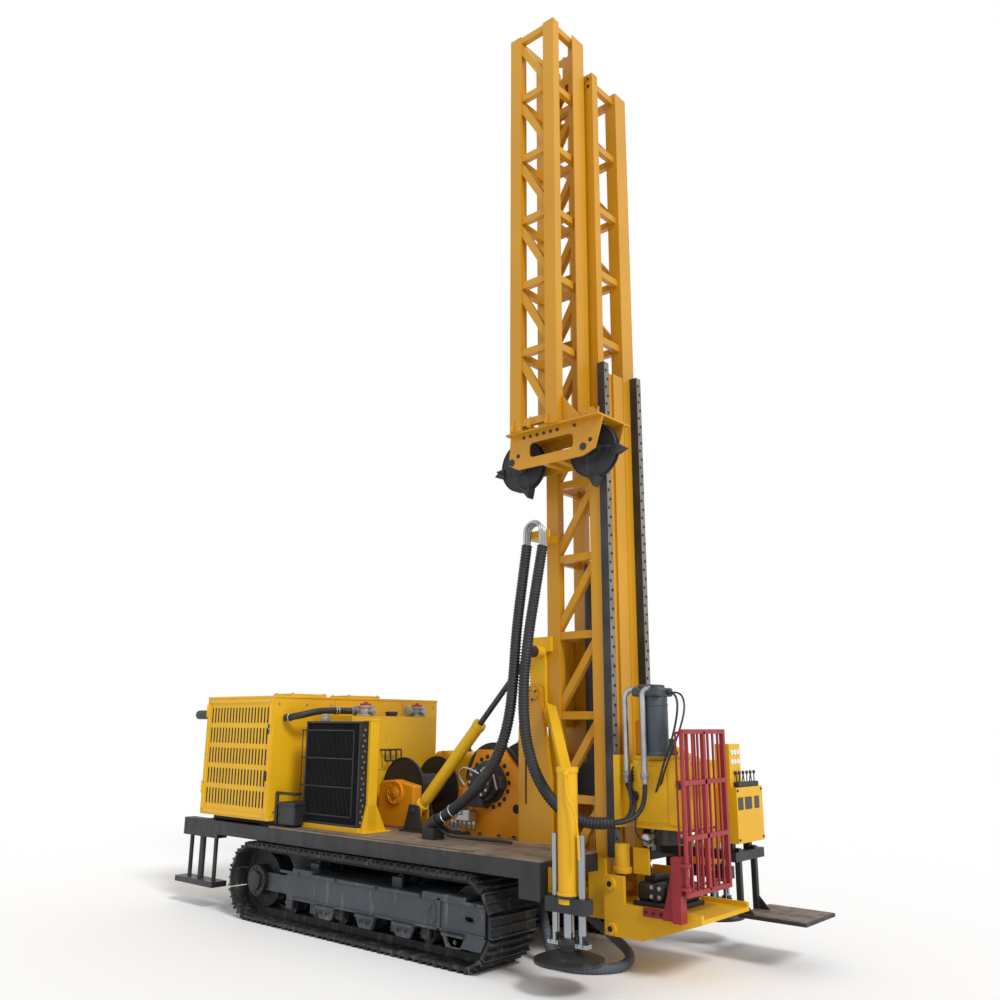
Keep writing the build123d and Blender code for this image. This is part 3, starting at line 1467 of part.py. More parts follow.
# The block on the deck where the deck bundle ends, cut square to the hose
deck_end, deck_last = Vector(deck_bundle_route[-1]), Vector(deck_bundle_route[-2])
deck_end_direction = (deck_end - deck_last).normalized()
with BuildPart() as manifold:
    with BuildSketch(Plane(origin=deck_end, z_dir=deck_end_direction)):
        Circle(bundle_radius + 12)
    extrude(amount=110)
    with Locations((deck_end.X - 60, deck_end.Y, (deck_top + deck_end.Z - 60) / 2)):
        Box(130, 130, deck_end.Z - 60 - deck_top)
write(manifold, "deck_manifold")

# Bent tubes over the bracket
with BuildPart() as elbows:
    for i in range(elbow_count):
        y = elbow_near_y + (i - (elbow_count - 1) / 2) * elbow_spread
        rise = elbow_rise - 12 * abs(i - 1)
        with BuildLine(mode=Mode.PRIVATE) as bend:
            FilletPolyline(
                (deck_end_x, y, bundle_top_z + elbow_gap),
                (deck_end_x, y, bundle_top_z + rise),
                (head_end_x, y, bundle_top_z + rise),
                (head_end_x, y, bundle_top_z - head_end_drop + elbow_gap),
                radius=(head_end_x - deck_end_x) / 2 - 1,
            )
        with BuildSketch(Plane(origin=bend.line @ 0, z_dir=(0, 0, 1))):
            Circle(elbow_radius - seat_gap)
        sweep(path=bend.line)
write(elbows, "hose_elbows")

elbow_far_y = elbow_near_y + (elbow_count - 1) / 2 * elbow_spread + elbow_radius
with BuildPart() as hose_bracket:
    with Locations((mast_rear_x + chord_depth / 2, (elbow_far_y - mast_half_width) / 2, bundle_top_z + 90)):
        Box(chord_depth, -mast_half_width - elbow_far_y, bracket_height)
    with Locations(((deck_end_x + head_end_x) / 2, elbow_far_y + 8, bundle_top_z + 90)):
        Box(head_end_x - deck_end_x + 60, 16, bracket_height)
write(hose_bracket, "hose_bracket")

# Bent steel pipes on the drill head, and the hoses that join them to the head bundle
head_top = head_bottom + head_height
with BuildPart() as head_pipes:
    for (x, y), end_x in ((pipe_a, head_motor_x - motor_block_half), (pipe_b, head_motor_x + pipe_entry_x)):
        with BuildLine(mode=Mode.PRIVATE) as run:
            FilletPolyline((x, y, pipe_bottom_z), (x, y, pipe_top_z), (end_x - seat_gap, y, pipe_top_z), radius=pipe_bend_of[x])
        with BuildSketch(Plane(origin=run.line @ 0, z_dir=(0, 0, 1))):
            Circle(pipe_radius)
        sweep(path=run.line)
write(head_pipes, "head_pipes")

head_end, head_last = Vector(head_bundle_route[-1]), Vector(head_bundle_route[-2])
head_end_direction = (head_end - head_last).normalized()
branch_side = head_end_direction.cross(Vector(0, 0, 1)).normalized() * branch_offset
branch_base = head_end + head_end_direction * seat_gap
branch_a_route = [
    tuple(branch_base - branch_side),
    tuple(branch_base - branch_side + head_end_direction * branch_run),
    (2032, -330, 1115),
    (2000, -268, 1185),
    (1948, -240, 1240),
    (pipe_a[0], pipe_a[1], 1285),
    (pipe_a[0], pipe_a[1], pipe_bottom_z - seat_gap),
]
branch_b_route = [
    tuple(branch_base + branch_side),
    tuple(branch_base + branch_side + head_end_direction * branch_run),
    (2100, -345, 1110),
    (pipe_b[0], pipe_b[1], 1215),
    (pipe_b[0], pipe_b[1], pipe_bottom_z - seat_gap),
]
branch_a = hose(branch_a_route, branch_radius)
write(branch_a, "pipe_hose_rear")
branch_b = hose(branch_b_route, branch_radius)
write(branch_b, "pipe_hose_front")

# A protective sleeve that loops out of the chassis over the ground and back
ground_hose_route = [
    (body_front_x + seat_gap, -60, 350),
    (1185, -60, 350),
    (1300, -54, 326),
    (1415, -45, 276),
    (1530, -37, 212),
    (1650, -36, 148),
    (1780, -68, 92),
    (1862, -165, 60),
    (1868, -300, ground_hose_radius + 1),
    (1806, -425, ground_hose_radius + 1),
    (1700, -520, ground_hose_radius + 1),
    (1560, -560, ground_hose_radius + 1),
    (1425, -530, 60),
    (1340, -470, 140),
    (1270, -420, 250),
    (1195, -360, 350),
    (body_front_x + seat_gap, -360, 350),
]
ground_hose = hose(ground_hose_route, ground_hose_radius)
write(ground_hose, "ground_hose")

# Slide cylinder inside the lower section, on a box that seats on the rear face's level brace
brace_front_x = mast_rear_x + chord_depth / 2 + brace_thickness / 2 + seat_gap
feed_box_top = feed_cylinder_foot
with BuildPart() as feed_cylinder:
    with Locations(((brace_front_x + feed_cylinder_x + feed_cylinder_radius) / 2, feed_cylinder_y, feed_box_top - feed_box_height / 2)):
        Box(feed_cylinder_x + feed_cylinder_radius - brace_front_x, 2 * feed_cylinder_radius, feed_box_height)
    with BuildSketch(Plane.XY.offset(feed_cylinder_foot)):
        with Locations((feed_cylinder_x, feed_cylinder_y)):
            Circle(feed_cylinder_radius)
    extrude(amount=feed_cylinder_top - feed_cylinder_foot)
write(feed_cylinder, "slide_cylinder")
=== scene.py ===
import bpy
import math
from mathutils import Euler, Matrix, Vector


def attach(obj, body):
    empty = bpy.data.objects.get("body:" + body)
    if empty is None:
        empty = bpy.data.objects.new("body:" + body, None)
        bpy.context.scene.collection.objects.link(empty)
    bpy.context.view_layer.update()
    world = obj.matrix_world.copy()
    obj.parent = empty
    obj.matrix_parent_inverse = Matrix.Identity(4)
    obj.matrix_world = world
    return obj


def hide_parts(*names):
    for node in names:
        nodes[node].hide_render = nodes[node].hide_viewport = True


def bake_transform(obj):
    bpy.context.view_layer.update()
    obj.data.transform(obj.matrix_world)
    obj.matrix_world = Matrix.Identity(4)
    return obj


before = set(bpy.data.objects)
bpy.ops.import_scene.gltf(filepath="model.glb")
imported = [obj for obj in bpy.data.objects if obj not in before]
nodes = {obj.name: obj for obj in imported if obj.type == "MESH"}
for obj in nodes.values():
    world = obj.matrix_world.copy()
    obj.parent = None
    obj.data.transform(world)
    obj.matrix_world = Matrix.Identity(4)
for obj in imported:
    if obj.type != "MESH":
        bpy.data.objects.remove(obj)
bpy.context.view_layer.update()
# metres: the sheaves' middle plane and axle height, and the two feed rails' middles
sheaveY = -0.494
sheaveZ = 3.855
railMiddles = (-0.215, 0.285)
scene = bpy.context.scene
scene.view_settings.view_transform = "Standard"

# the photograph's view
camera = {"place": (5.868, -6.235, 1.72), "azimuth": 41.113, "tilt": 13.914, "roll": 0.329, "lens": 32.609}
turn = Euler((math.radians(90 + camera["tilt"]), 0, math.radians(camera["azimuth"]))).to_matrix().to_4x4()
bpy.ops.object.camera_add()
scene.camera = bpy.context.object
roll = Matrix.Rotation(math.radians(camera["roll"]), 4, "Z")
scene.camera.matrix_world = Matrix.Translation(camera["place"]) @ turn @ roll
scene.camera.data.lens = camera["lens"]
scene.camera.data.sensor_width = 36
scene.camera.data.clip_end = 200
print("camera set")


def hexColour(text):  # sRGB hex to linear
    parts = [int(text[i:i + 2], 16) / 255 for i in (1, 3, 5)]
    return [c / 12.92 if c <= 0.04045 else ((c + 0.055) / 1.055) ** 2.4 for c in parts] + [1.0]


def addNode(tree, kind, settings=None, links=None):
    new = tree.nodes.new(kind)
    for key, value in (settings or {}).items():
        if isinstance(key, int) or key[0].isupper():
            new.inputs[key].default_value = value
        else:
            setattr(new, key, value)
    for key, source in (links or {}).items():
        tree.links.new(source, new.inputs[key])
    return new


def perMetre(millimetres):  # noise scale for spots of this size
    return 1000 / millimetres


def makeFinish(name, look):
    material = bpy.data.materials.new(name)
    material.use_nodes = True
    tree = material.node_tree
    tree.nodes.clear()
    place = addNode(tree, "ShaderNodeTexCoord").outputs["Object"]
    broad = addNode(tree, "ShaderNodeTexNoise", {"Scale": perMetre(look["toneMm"]), "Detail": 3.0,
        "Roughness": 0.55}, {"Vector": place})
    tone = addNode(tree, "ShaderNodeMapRange", {"From Min": 0.35, "From Max": 0.65},
        {"Value": broad.outputs["Fac"]})
    colour = addNode(tree, "ShaderNodeMix", {"data_type": "RGBA", 6: hexColour(look["colour"]),
        7: hexColour(look["tone"])}, {0: tone.outputs[0]})
    # grime in runs down the sides, thicker near the ground
    drawn = addNode(tree, "ShaderNodeMapping", {"Scale": (1, 1, look.get("run", 0.25))}, {"Vector": place})
    grime = addNode(tree, "ShaderNodeTexNoise", {"Scale": perMetre(look["grimeMm"]), "Detail": 6.0,
        "Roughness": 0.62}, {"Vector": drawn.outputs[0]})
    height = addNode(tree, "ShaderNodeSeparateXYZ", None, {0: place})
    low = addNode(tree, "ShaderNodeMapRange", {"From Min": look.get("dustTop", 0.9), "From Max": 0.0,
        "To Min": 0.0, "To Max": look.get("dust", 0.12)}, {"Value": height.outputs["Z"]})
    edge = addNode(tree, "ShaderNodeMath", {"operation": "SUBTRACT", 0: look.get("grimeEdge", 0.66)},
        {1: low.outputs[0]})
    top = addNode(tree, "ShaderNodeMath", {"operation": "ADD", 1: 0.12}, {0: edge.outputs[0]})
    patch = addNode(tree, "ShaderNodeMapRange", {"To Max": look.get("grime", 0.5)},
        {"Value": grime.outputs["Fac"], "From Min": edge.outputs[0], "From Max": top.outputs[0]})
    dirty = addNode(tree, "ShaderNodeMix", {"data_type": "RGBA", 7: hexColour(look["grimeColour"])},
        {0: patch.outputs[0], 6: colour.outputs[2]})
    fine = addNode(tree, "ShaderNodeTexNoise", {"Scale": perMetre(look["bumpMm"]), "Detail": 2.0},
        {"Vector": place})
    bump = addNode(tree, "ShaderNodeBump", {"Strength": look["bump"], "Distance": look["bumpMm"] / 4000},
        {"Height": fine.outputs["Fac"]})
    gloss = addNode(tree, "ShaderNodeMapRange", {"To Min": look["rough"][0], "To Max": look["rough"][1],
        "From Min": 0.3, "From Max": 0.7}, {"Value": grime.outputs["Fac"]})
    settings = {"Metallic": look.get("metal", 0.0), "Coat Weight": look.get("coat", 0.0),
        "Coat Roughness": 0.2, "Specular IOR Level": look.get("specular", 0.5)}
    links = {"Base Color": dirty.outputs[2], "Roughness": gloss.outputs[0], "Normal": bump.outputs[0]}
    shader = addNode(tree, "ShaderNodeBsdfPrincipled", settings, links)
    addNode(tree, "ShaderNodeOutputMaterial", None, {"Surface": shader.outputs[0]})
    return material


finishLooks = {
    # sprayed machine enamel over steel: soft gloss, faint orange peel, tan dust low down
    "yellowEnamel": {"colour": "#EBB81E", "tone": "#DFA814", "toneMm": 1400, "grimeMm": 120,
        "grimeColour": "#8A6A32", "grime": 0.42, "rough": (0.34, 0.52), "bumpMm": 7, "bump": 0.05,
        "coat": 0.04, "specular": 0.3},
    # the mast and winches carry a deeper coat of the same enamel
    "amberEnamel": {"colour": "#D3980F", "tone": "#C58A0C", "toneMm": 1800, "grimeMm": 150,
        "grimeColour": "#7E5A24", "grime": 0.4, "rough": (0.36, 0.55), "bumpMm": 7, "bump": 0.05,
        "coat": 0.22, "specular": 0.45},
    # dull dark blue-grey enamel, scuffed and dusty
    "orangeEnamel": {"colour": "#EE9A18", "tone": "#E08A10", "toneMm": 900, "grimeMm": 110,
        "grimeColour": "#7A4E20", "grime": 0.42, "rough": (0.36, 0.55), "bumpMm": 7, "bump": 0.05,
        "coat": 0.04, "specular": 0.3},  # the winches and gear case carry an orange coat
    "slateEnamel": {"colour": "#3F464D", "tone": "#333A41", "toneMm": 700, "grimeMm": 90,
        "grimeColour": "#7B7870", "grime": 0.55, "rough": (0.42, 0.66), "bumpMm": 8, "bump": 0.08,
        "dust": 0.16},
    # black chassis enamel, half matt, greyed by dust
    "blackEnamel": {"colour": "#1C1D1F", "tone": "#26272A", "toneMm": 500, "grimeMm": 80,
        "grimeColour": "#5C5850", "grime": 0.45, "rough": (0.4, 0.65), "bumpMm": 7, "bump": 0.07,
        "dust": 0.1},
    "redEnamel": {"colour": "#9E2A30", "tone": "#8C2228", "toneMm": 500, "grimeMm": 70,
        "grimeColour": "#6B3A34", "grime": 0.4, "rough": (0.38, 0.56), "bumpMm": 6, "bump": 0.05},
        # faded signal red
    # cast track plates: nearly black, worn grey and dusted with soil
    "trackSteel": {"colour": "#232427", "tone": "#303135", "toneMm": 260, "grimeMm": 60,
        "grimeColour": "#6E665A", "grime": 0.6, "grimeEdge": 0.6, "rough": (0.5, 0.78), "bumpMm": 12,
        "bump": 0.25, "metal": 0.35, "dust": 0.1},
    # walked-on steel deck, brown with soil and scuffed pale along its length
    "wornDeck": {"colour": "#8C7B68", "tone": "#6F6152", "toneMm": 420, "grimeMm": 110,
        "grimeColour": "#4A4038", "grime": 0.6, "grimeEdge": 0.55, "rough": (0.55, 0.85), "bumpMm": 14,
        "bump": 0.2, "run": 1.0, "metal": 0.1},
    "hardChrome": {"colour": "#A2A7AC", "tone": "#92979D", "toneMm": 300, "grimeMm": 60,
        "grimeColour": "#8E8C86", "grime": 0.25, "rough": (0.1, 0.24), "bumpMm": 5, "bump": 0.01,
        "metal": 1.0},  # ground and plated rod
    "railSteel": {"colour": "#4A4A4B", "tone": "#38383A", "toneMm": 300, "grimeMm": 60,
        "grimeColour": "#5A4C3C", "grime": 0.5, "rough": (0.36, 0.6), "bumpMm": 6, "bump": 0.1,
        "metal": 0.6},  # oiled rolled rail
    "wornRail": {"colour": "#8E877C", "tone": "#777067", "toneMm": 200, "grimeMm": 60,
        "grimeColour": "#3F3830", "grime": 0.6, "rough": (0.4, 0.6), "bumpMm": 6, "bump": 0.08,
        "metal": 0.4},  # the rubbed face of a rail, grey with old grease
    "zincTube": {"colour": "#B9BBBD", "tone": "#A3A5A8", "toneMm": 160, "grimeMm": 45,
        "grimeColour": "#77746D", "grime": 0.35, "rough": (0.26, 0.45), "bumpMm": 5, "bump": 0.03,
        "metal": 0.9},  # zinc-plated tube, faint spangle
    "sleeveRubber": {"colour": "#1B1B1D", "tone": "#262628", "toneMm": 200, "grimeMm": 50,
        "grimeColour": "#514C45", "grime": 0.4, "rough": (0.48, 0.7), "bumpMm": 5, "bump": 0.12},
        # moulded black sleeve
    "groundSleeve": {"colour": "#565E68", "tone": "#474E58", "toneMm": 180, "grimeMm": 50,
        "grimeColour": "#7C766B", "grime": 0.5, "rough": (0.55, 0.8), "bumpMm": 5, "bump": 0.2},
        # faded woven sleeve
    "castIron": {"colour": "#3A3836", "tone": "#2B2A29", "toneMm": 150, "grimeMm": 40,
        "grimeColour": "#5F5344", "grime": 0.55, "rough": (0.5, 0.75), "bumpMm": 6, "bump": 0.3,
        "metal": 0.3},  # sand-cast, grainy
    "motorIron": {"colour": "#3C444B", "tone": "#30373D", "toneMm": 260, "grimeMm": 60,
        "grimeColour": "#5E5A50", "grime": 0.5, "rough": (0.34, 0.55), "bumpMm": 6, "bump": 0.1},
        # motor casting under thin grey-green paint
    "castAluminium": {"colour": "#A9A6A0", "tone": "#8F8C86", "toneMm": 120, "grimeMm": 40,
        "grimeColour": "#66615A", "grime": 0.45, "rough": (0.42, 0.62), "bumpMm": 5, "bump": 0.2,
        "metal": 0.8},
    "exhaustSteel": {"colour": "#5E5954", "tone": "#4A423C", "toneMm": 140, "grimeMm": 50,
        "grimeColour": "#6E4A32", "grime": 0.55, "rough": (0.45, 0.7), "bumpMm": 5, "bump": 0.12,
        "metal": 0.7},  # dulled by heat
    "boltSteel": {"colour": "#5A5856", "tone": "#403F3E", "toneMm": 60, "grimeMm": 30,
        "grimeColour": "#5A4632", "grime": 0.4, "rough": (0.35, 0.55), "bumpMm": 4, "bump": 0.05,
        "metal": 0.8},  # blackened bolts
    "darkGlass": {"colour": "#15191D", "tone": "#1D2329", "toneMm": 200, "grimeMm": 60,
        "grimeColour": "#3A3E40", "grime": 0.2, "rough": (0.08, 0.2), "bumpMm": 8, "bump": 0.0},
    "capRed": {"colour": "#C22B25", "tone": "#A8231E", "toneMm": 80, "grimeMm": 30,
        "grimeColour": "#6E3A34", "grime": 0.3, "rough": (0.35, 0.5), "bumpMm": 4, "bump": 0.02},
        # moulded plastic cap
    "dialWhite": {"colour": "#E6E4DC", "tone": "#DAD7CE", "toneMm": 60, "grimeMm": 30,
        "grimeColour": "#9A968C", "grime": 0.2, "rough": (0.3, 0.4), "bumpMm": 4, "bump": 0.01},
    "meshCore": {"colour": "#202225", "tone": "#17181B", "toneMm": 300, "grimeMm": 60,
        "grimeColour": "#4C4942", "grime": 0.4, "rough": (0.5, 0.7), "bumpMm": 5, "bump": 0.3,
        "metal": 0.3},  # finned radiator core
    # near-black painted shade for holes, slots and the unlit inside of the housing
    "paintedShade": {"colour": "#131313", "tone": "#1A1918", "toneMm": 300, "grimeMm": 90,
        "grimeColour": "#24211E", "grime": 0.4, "rough": (0.7, 0.9), "bumpMm": 9, "bump": 0.1},
}
finishes = {name: makeFinish(name, look) for name, look in finishLooks.items()}

nodeFinish = {
    "yellowEnamel": "engine_housing radiator_stand hydraulic_tank fuel_tank mast_carriage foot_table "
                    "head_gearbox control_console lift_barrels front_jack_left front_jack_right hose_bracket",
    "amberEnamel": "mast_lower mast_upper mast_crown mast_pedestal",
    "orangeEnamel": "main_winch_frame wireline_winch_frame",
    "slateEnamel": "track_frame_left track_frame_right slide_cylinder",
    "blackEnamel": "chassis_frame exhaust_pipe radiator main_winch_drum wireline_winch_drum main_winch_motor "
                   "head_motor console_frame step_platform deck_manifold sheave_front sheave_rear "
                   "front_dish_left front_dish_right",
    "redEnamel": "safety_cage cage_bracket",
    "trackSteel": "track_left track_right track_wheels_left track_wheels_right",
    "wornDeck": "deck_plate",
    "hardChrome": "front_foot_left front_foot_right",
    "railSteel": "feed_rails head_spindle lift_rods rear_foot_left rear_foot_right",
    "zincTube": "head_pipes hose_elbows",
    "castIron": "rod_holder",
    "castAluminium": "return_filters",
    # the engine block inside the housing takes the painted-shade black
    "paintedShade": "engine_block",
    "sleeveRubber": "deck_hose_bundle head_hose_bundle pipe_hose_rear pipe_hose_front ground_hose",
}
for look, names in nodeFinish.items():
    for name in names.split():
        if name in nodes:
            nodes[name].data.materials.clear()
            nodes[name].data.materials.append(finishes[look])
print("finishes on the frame's nodes")


def freeAll():
    bpy.ops.object.select_all(action="DESELECT")


def placed(name):  # the piece just added keeps its place in its mesh
    piece = bpy.context.object
    piece.name = piece.data.name = name
    bpy.ops.object.transform_apply(location=True, rotation=True, scale=True)
    return piece


def soften(piece, width, segments=2, angle=35):
    edges = piece.modifiers.new("edges", "BEVEL")
    edges.width = width
    edges.segments = segments
    edges.limit_method = "ANGLE"
    edges.angle_limit = math.radians(angle)
    bpy.context.view_layer.objects.active = piece
    bpy.ops.object.modifier_apply(modifier="edges")
    return piece


def smooth(piece, angle=40):
    freeAll()
    piece.select_set(True)
    bpy.context.view_layer.objects.active = piece
    bpy.ops.object.shade_smooth_by_angle(angle=math.radians(angle))
    return piece


def block(name, low, high, edge=0.004):
    freeAll()
    low, high = Vector(low), Vector(high)
    bpy.ops.mesh.primitive_cube_add(size=1, location=(low + high) / 2, scale=high - low)
    return soften(placed(name), edge)


def rod(name, start, end, radius, sides=28, edge=0.003):
    freeAll()
    start, end = Vector(start), Vector(end)
    along = end - start
    bpy.ops.mesh.primitive_cylinder_add(vertices=sides, radius=radius, depth=along.length,
        location=(start + end) / 2, rotation=along.to_track_quat("Z", "Y").to_euler())
    return smooth(soften(placed(name), edge))


def ring(name, centre, axis, radius, thickness, sides=32):
    freeAll()
    bpy.ops.mesh.primitive_torus_add(location=centre, rotation=Vector(axis).to_track_quat("Z",
        "Y").to_euler(), major_radius=radius, minor_radius=thickness, major_segments=sides,
        minor_segments=10)
    return smooth(placed(name), 80)


def copies(piece, moves):  # one mesh repeated, each copy with its own, and the first kept at its place
    made = [piece]
    for move in moves:
        other = piece.copy()
        other.data = piece.data.copy()
        other.data.transform(move if isinstance(move, Matrix) else Matrix.Translation(move))
        bpy.context.collection.objects.link(other)
        made.append(other)
    return made


def joined(name, pieces):
    freeAll()
    for piece in pieces:
        piece.select_set(True)
    bpy.context.view_layer.objects.active = pieces[0]
    bpy.ops.object.join()
    whole = bpy.context.object
    whole.name = whole.data.name = name
    return whole


def dress(piece, look, body):
    piece.data.materials.clear()
    piece.data.materials.append(finishes[look])
    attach(piece, body)
    return piece


def facing(point, direction, size=1.0):
    return Matrix.Translation(point) @ Vector(direction).to_track_quat("Z",
        "Y").to_matrix().to_4x4() @ Matrix.Scale(size, 4)


freeAll()
bpy.ops.mesh.primitive_cylinder_add(vertices=6, radius=1, depth=0.8, location=(0, 0, 0.6))
boltHead = soften(placed("boltHead"), 0.08, 1)
bpy.ops.mesh.primitive_cylinder_add(vertices=14, radius=1.35, depth=0.24, location=(0, 0, 0.1))
boltModel = joined("boltModel", [boltHead, placed("boltWasher")])


def bolts(name, places, size, body, look="boltSteel"):  # places are a point and the way it faces
    made = copies(boltModel, [facing(point, way, size) for point, way in places])[1:]
    return dress(joined(name, made), look, body)


# Hoses
def smoothLine(points, steps=16):  # the points of a smooth line drawn by a NURBS spline
    curve = bpy.data.curves.new("line", "CURVE")
    curve.dimensions = "3D"
    spline = curve.splines.new("NURBS")
    spline.points.add(len(points) - 1)
    for control, point in zip(spline.points, points):
        control.co = (*point, 1)
    spline.order_u = 3
    spline.use_endpoint_u = True
    spline.resolution_u = steps
    holder = bpy.data.objects.new("line", curve)
    mesh = bpy.data.meshes.new_from_object(holder)
    line = [vertex.co.copy() for vertex in mesh.vertices]
    bpy.data.objects.remove(holder)
    bpy.data.curves.remove(curve)
    bpy.data.meshes.remove(mesh)
    return line


def lineLength(line):
    return sum((b - a).length for a, b in zip(line[:-1], line[1:]))


def evenSteps(line, step):
    count = max(2, round(lineLength(line) / step))
    wanted = [lineLength(line) * i / count for i in range(count + 1)]
    made, gone, at = [], 0.0, 0
    for want in wanted:
        while at < len(line) - 2 and gone + (line[at + 1] - line[at]).length < want:
            gone += (line[at + 1] - line[at]).length
            at += 1
        part = (want - gone) / max((line[at + 1] - line[at]).length, 1e-9)
        made.append(line[at].lerp(line[at + 1], min(part, 1.0)))
    return made


def tubeAlong(name, line, radii, sides=14):
    vertices, faces = [], []
    side = None
    for i, point in enumerate(line):
        ahead = (line[min(i + 1, len(line) - 1)] - line[max(i - 1, 0)]).normalized()
        side = ahead.orthogonal() if side is None else side - ahead * side.dot(ahead)
        side.normalize()
        other = ahead.cross(side)
        for k in range(sides):
            angle = 2 * math.pi * k / sides
            vertices.append(point + (side * math.cos(angle) + other * math.sin(angle)) * radii[i % len(radii)])
    for i in range(len(line) - 1):
        for k in range(sides):
            m = (k + 1) % sides
            faces.append((i * sides + k, i * sides + m, (i + 1) * sides + m, (i + 1) * sides + k))
    faces.append(tuple(reversed(range(sides))))
    faces.append(tuple(range((len(line) - 1) * sides, len(line) * sides)))
    mesh = bpy.data.meshes.new(name)
    mesh.from_pydata(vertices, [], faces)
    mesh.update()
    piece = bpy.data.objects.new(name, mesh)
    bpy.context.collection.objects.link(piece)
    return smooth(piece, 50)


hoses = {
    "deckBundle": {"node": "deck_hose_bundle", "diameter": 0.09, "rib": 0.024, "depth": 0.006,
        "look": "sleeveRubber", "points": [
        (1.222, -0.57, 3.15), (1.168, -0.575, 2.8), (1.131, -0.598, 2.44), (1.122, -0.62, 2.08),
            (1.098, -0.642, 1.76),
        (1.01, -0.664, 1.485), (0.83, -0.682, 1.255), (0.6, -0.696, 1.075), (0.4, -0.704, 0.965)]},
    "headBundle": {"node": "head_hose_bundle", "diameter": 0.09, "rib": 0.024, "depth": 0.006,
        "look": "sleeveRubber", "points": [
        (1.385, -0.57, 3.13), (1.318, -0.576, 2.79), (1.258, -0.598, 2.42), (1.222, -0.62, 2.04),
            (1.25, -0.645, 1.68),
        (1.35, -0.662, 1.395), (1.505, -0.664, 1.19), (1.68, -0.635, 1.065), (1.835, -0.565, 1.02),
            (1.955, -0.47, 1.035)]},
    "rearPipeHose": {"node": "pipe_hose_rear", "diameter": 0.036, "rib": 0.05, "depth": 0.0006,
        "look": "sleeveRubber", "points": [
        (1.9423, -0.4535, 1.035), (2.017, -0.3942, 1.0444), (2.032, -0.33, 1.115), (2.0, -0.268, 1.185),
            (1.948, -0.24, 1.24), (1.92, -0.24, 1.285), (1.92, -0.24, 1.3347)]},
    "frontPipeHose": {"node": "pipe_hose_front", "diameter": 0.036, "rib": 0.05, "depth": 0.0006,
        "look": "sleeveRubber", "points": [
        (1.9684, -0.4862, 1.035), (2.0433, -0.4269, 1.0444), (2.1, -0.345, 1.11), (2.117, -0.305, 1.215),
            (2.117, -0.305, 1.3347)]},
    "groundHose": {"node": "ground_hose", "diameter": 0.072, "rib": 0.03, "depth": 0.0025,
        "look": "groundSleeve", "points": [
        (1.1003, -0.06, 0.35), (1.185, -0.06, 0.35), (1.3, -0.054, 0.326), (1.415, -0.045, 0.276),
            (1.53, -0.037, 0.212), (1.65, -0.036, 0.148),
        (1.78, -0.068, 0.092), (1.862, -0.165, 0.06), (1.868, -0.3, 0.037), (1.806, -0.425, 0.037),
            (1.7, -0.52, 0.037), (1.56, -0.56, 0.037),
        (1.425, -0.53, 0.06), (1.34, -0.47, 0.14), (1.27, -0.42, 0.25), (1.195, -0.36, 0.35),
            (1.1003, -0.36, 0.35)]},
}
hoseRide = {"deckBundle": "chassis", "headBundle": "lower_mast", "rearPipeHose": "head",
    "frontPipeHose": "head", "groundHose": "chassis"}
for name, hose in hoses.items():
    if hose["node"] not in nodes:
        continue
    line = smoothLine(hose["points"])
    high = hose["diameter"] / 2
    steps = evenSteps(line, hose["rib"] / 4)
    piece = tubeAlong(name, steps, [high - hose["depth"], high, high, high - hose["depth"]], 18)
    piece.data.materials.append(finishes[hose["look"]])
    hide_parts(hose["node"])
    if name == "deckBundle":
        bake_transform(piece)
    elif name == "headBundle":
        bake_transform(piece)
    else:
        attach(piece, hoseRide[name])
print("hoses laid")

# Light, background and floor
world = bpy.data.worlds.new("studio")
scene.world = world
world.use_nodes = True
tree = world.node_tree
tree.nodes.clear()
soft = addNode(tree, "ShaderNodeBackground", {"Color": hexColour("#FFFFFF"), "Strength": 0.64})
white = addNode(tree, "ShaderNodeBackground", {"Color": (1, 1, 1, 1), "Strength": 1.0})
path = addNode(tree, "ShaderNodeLightPath")
seen = addNode(tree, "ShaderNodeMath", {"operation": "MAXIMUM"},
    {0: path.outputs["Is Camera Ray"], 1: path.outputs["Is Glossy Ray"]})
seen = addNode(tree, "ShaderNodeMath", {"operation": "MAXIMUM"},
    {0: seen.outputs[0], 1: path.outputs["Is Transmission Ray"]})
mixed = addNode(tree, "ShaderNodeMixShader", None, {0: seen.outputs[0], 1: soft.outputs[0],
    2: white.outputs[0]})
addNode(tree, "ShaderNodeOutputWorld", None, {"Surface": mixed.outputs[0]})
sun = {"way": (-0.72, 0.24, -0.66), "strength": 1.7, "angle": 14}
bpy.ops.object.light_add(type="SUN", location=(6, -6, 10), rotation=Vector(sun["way"]).to_track_quat("-Z",
    "Y").to_euler())
bpy.context.object.data.energy = sun["strength"]
bpy.context.object.data.angle = math.radians(sun["angle"])
freeAll()
bpy.ops.mesh.primitive_plane_add(size=60, location=(0, 0, 0))
floor = placed("floor")
floorPaint = bpy.data.materials.new("floorPaint")
floorPaint.use_nodes = True
floorPaint.node_tree.nodes["Principled BSDF"].inputs["Base Color"].default_value = hexColour("#FFFFFF")
floorPaint.node_tree.nodes["Principled BSDF"].inputs["Roughness"].default_value = 0.9
floor.data.materials.append(floorPaint)
print("light and floor")

def plate(name, outline, axis, start, thickness,
    edge=0.003):  # a flat outline drawn across an axis and given its thickness
    freeAll()
    bpy.ops.mesh.primitive_circle_add(vertices=len(outline), fill_type="NGON")
    for vertex, (u, v) in zip(bpy.context.object.data.vertices, outline):
        vertex.co = {"x": (start, u, v), "y": (u, start, v), "z": (u, v, start)}[axis]
    piece = placed(name)
    bpy.ops.object.mode_set(mode="EDIT")
    bpy.ops.mesh.select_all(action="SELECT")
    way = {"x": (thickness, 0, 0), "y": (0, thickness, 0), "z": (0, 0, thickness)}[axis]
    bpy.ops.mesh.extrude_region_move(TRANSFORM_OT_translate={"value": way})
    bpy.ops.mesh.select_all(action="SELECT")
    bpy.ops.mesh.normals_make_consistent(inside=False)
    bpy.ops.object.mode_set(mode="OBJECT")
    return soften(piece, edge)


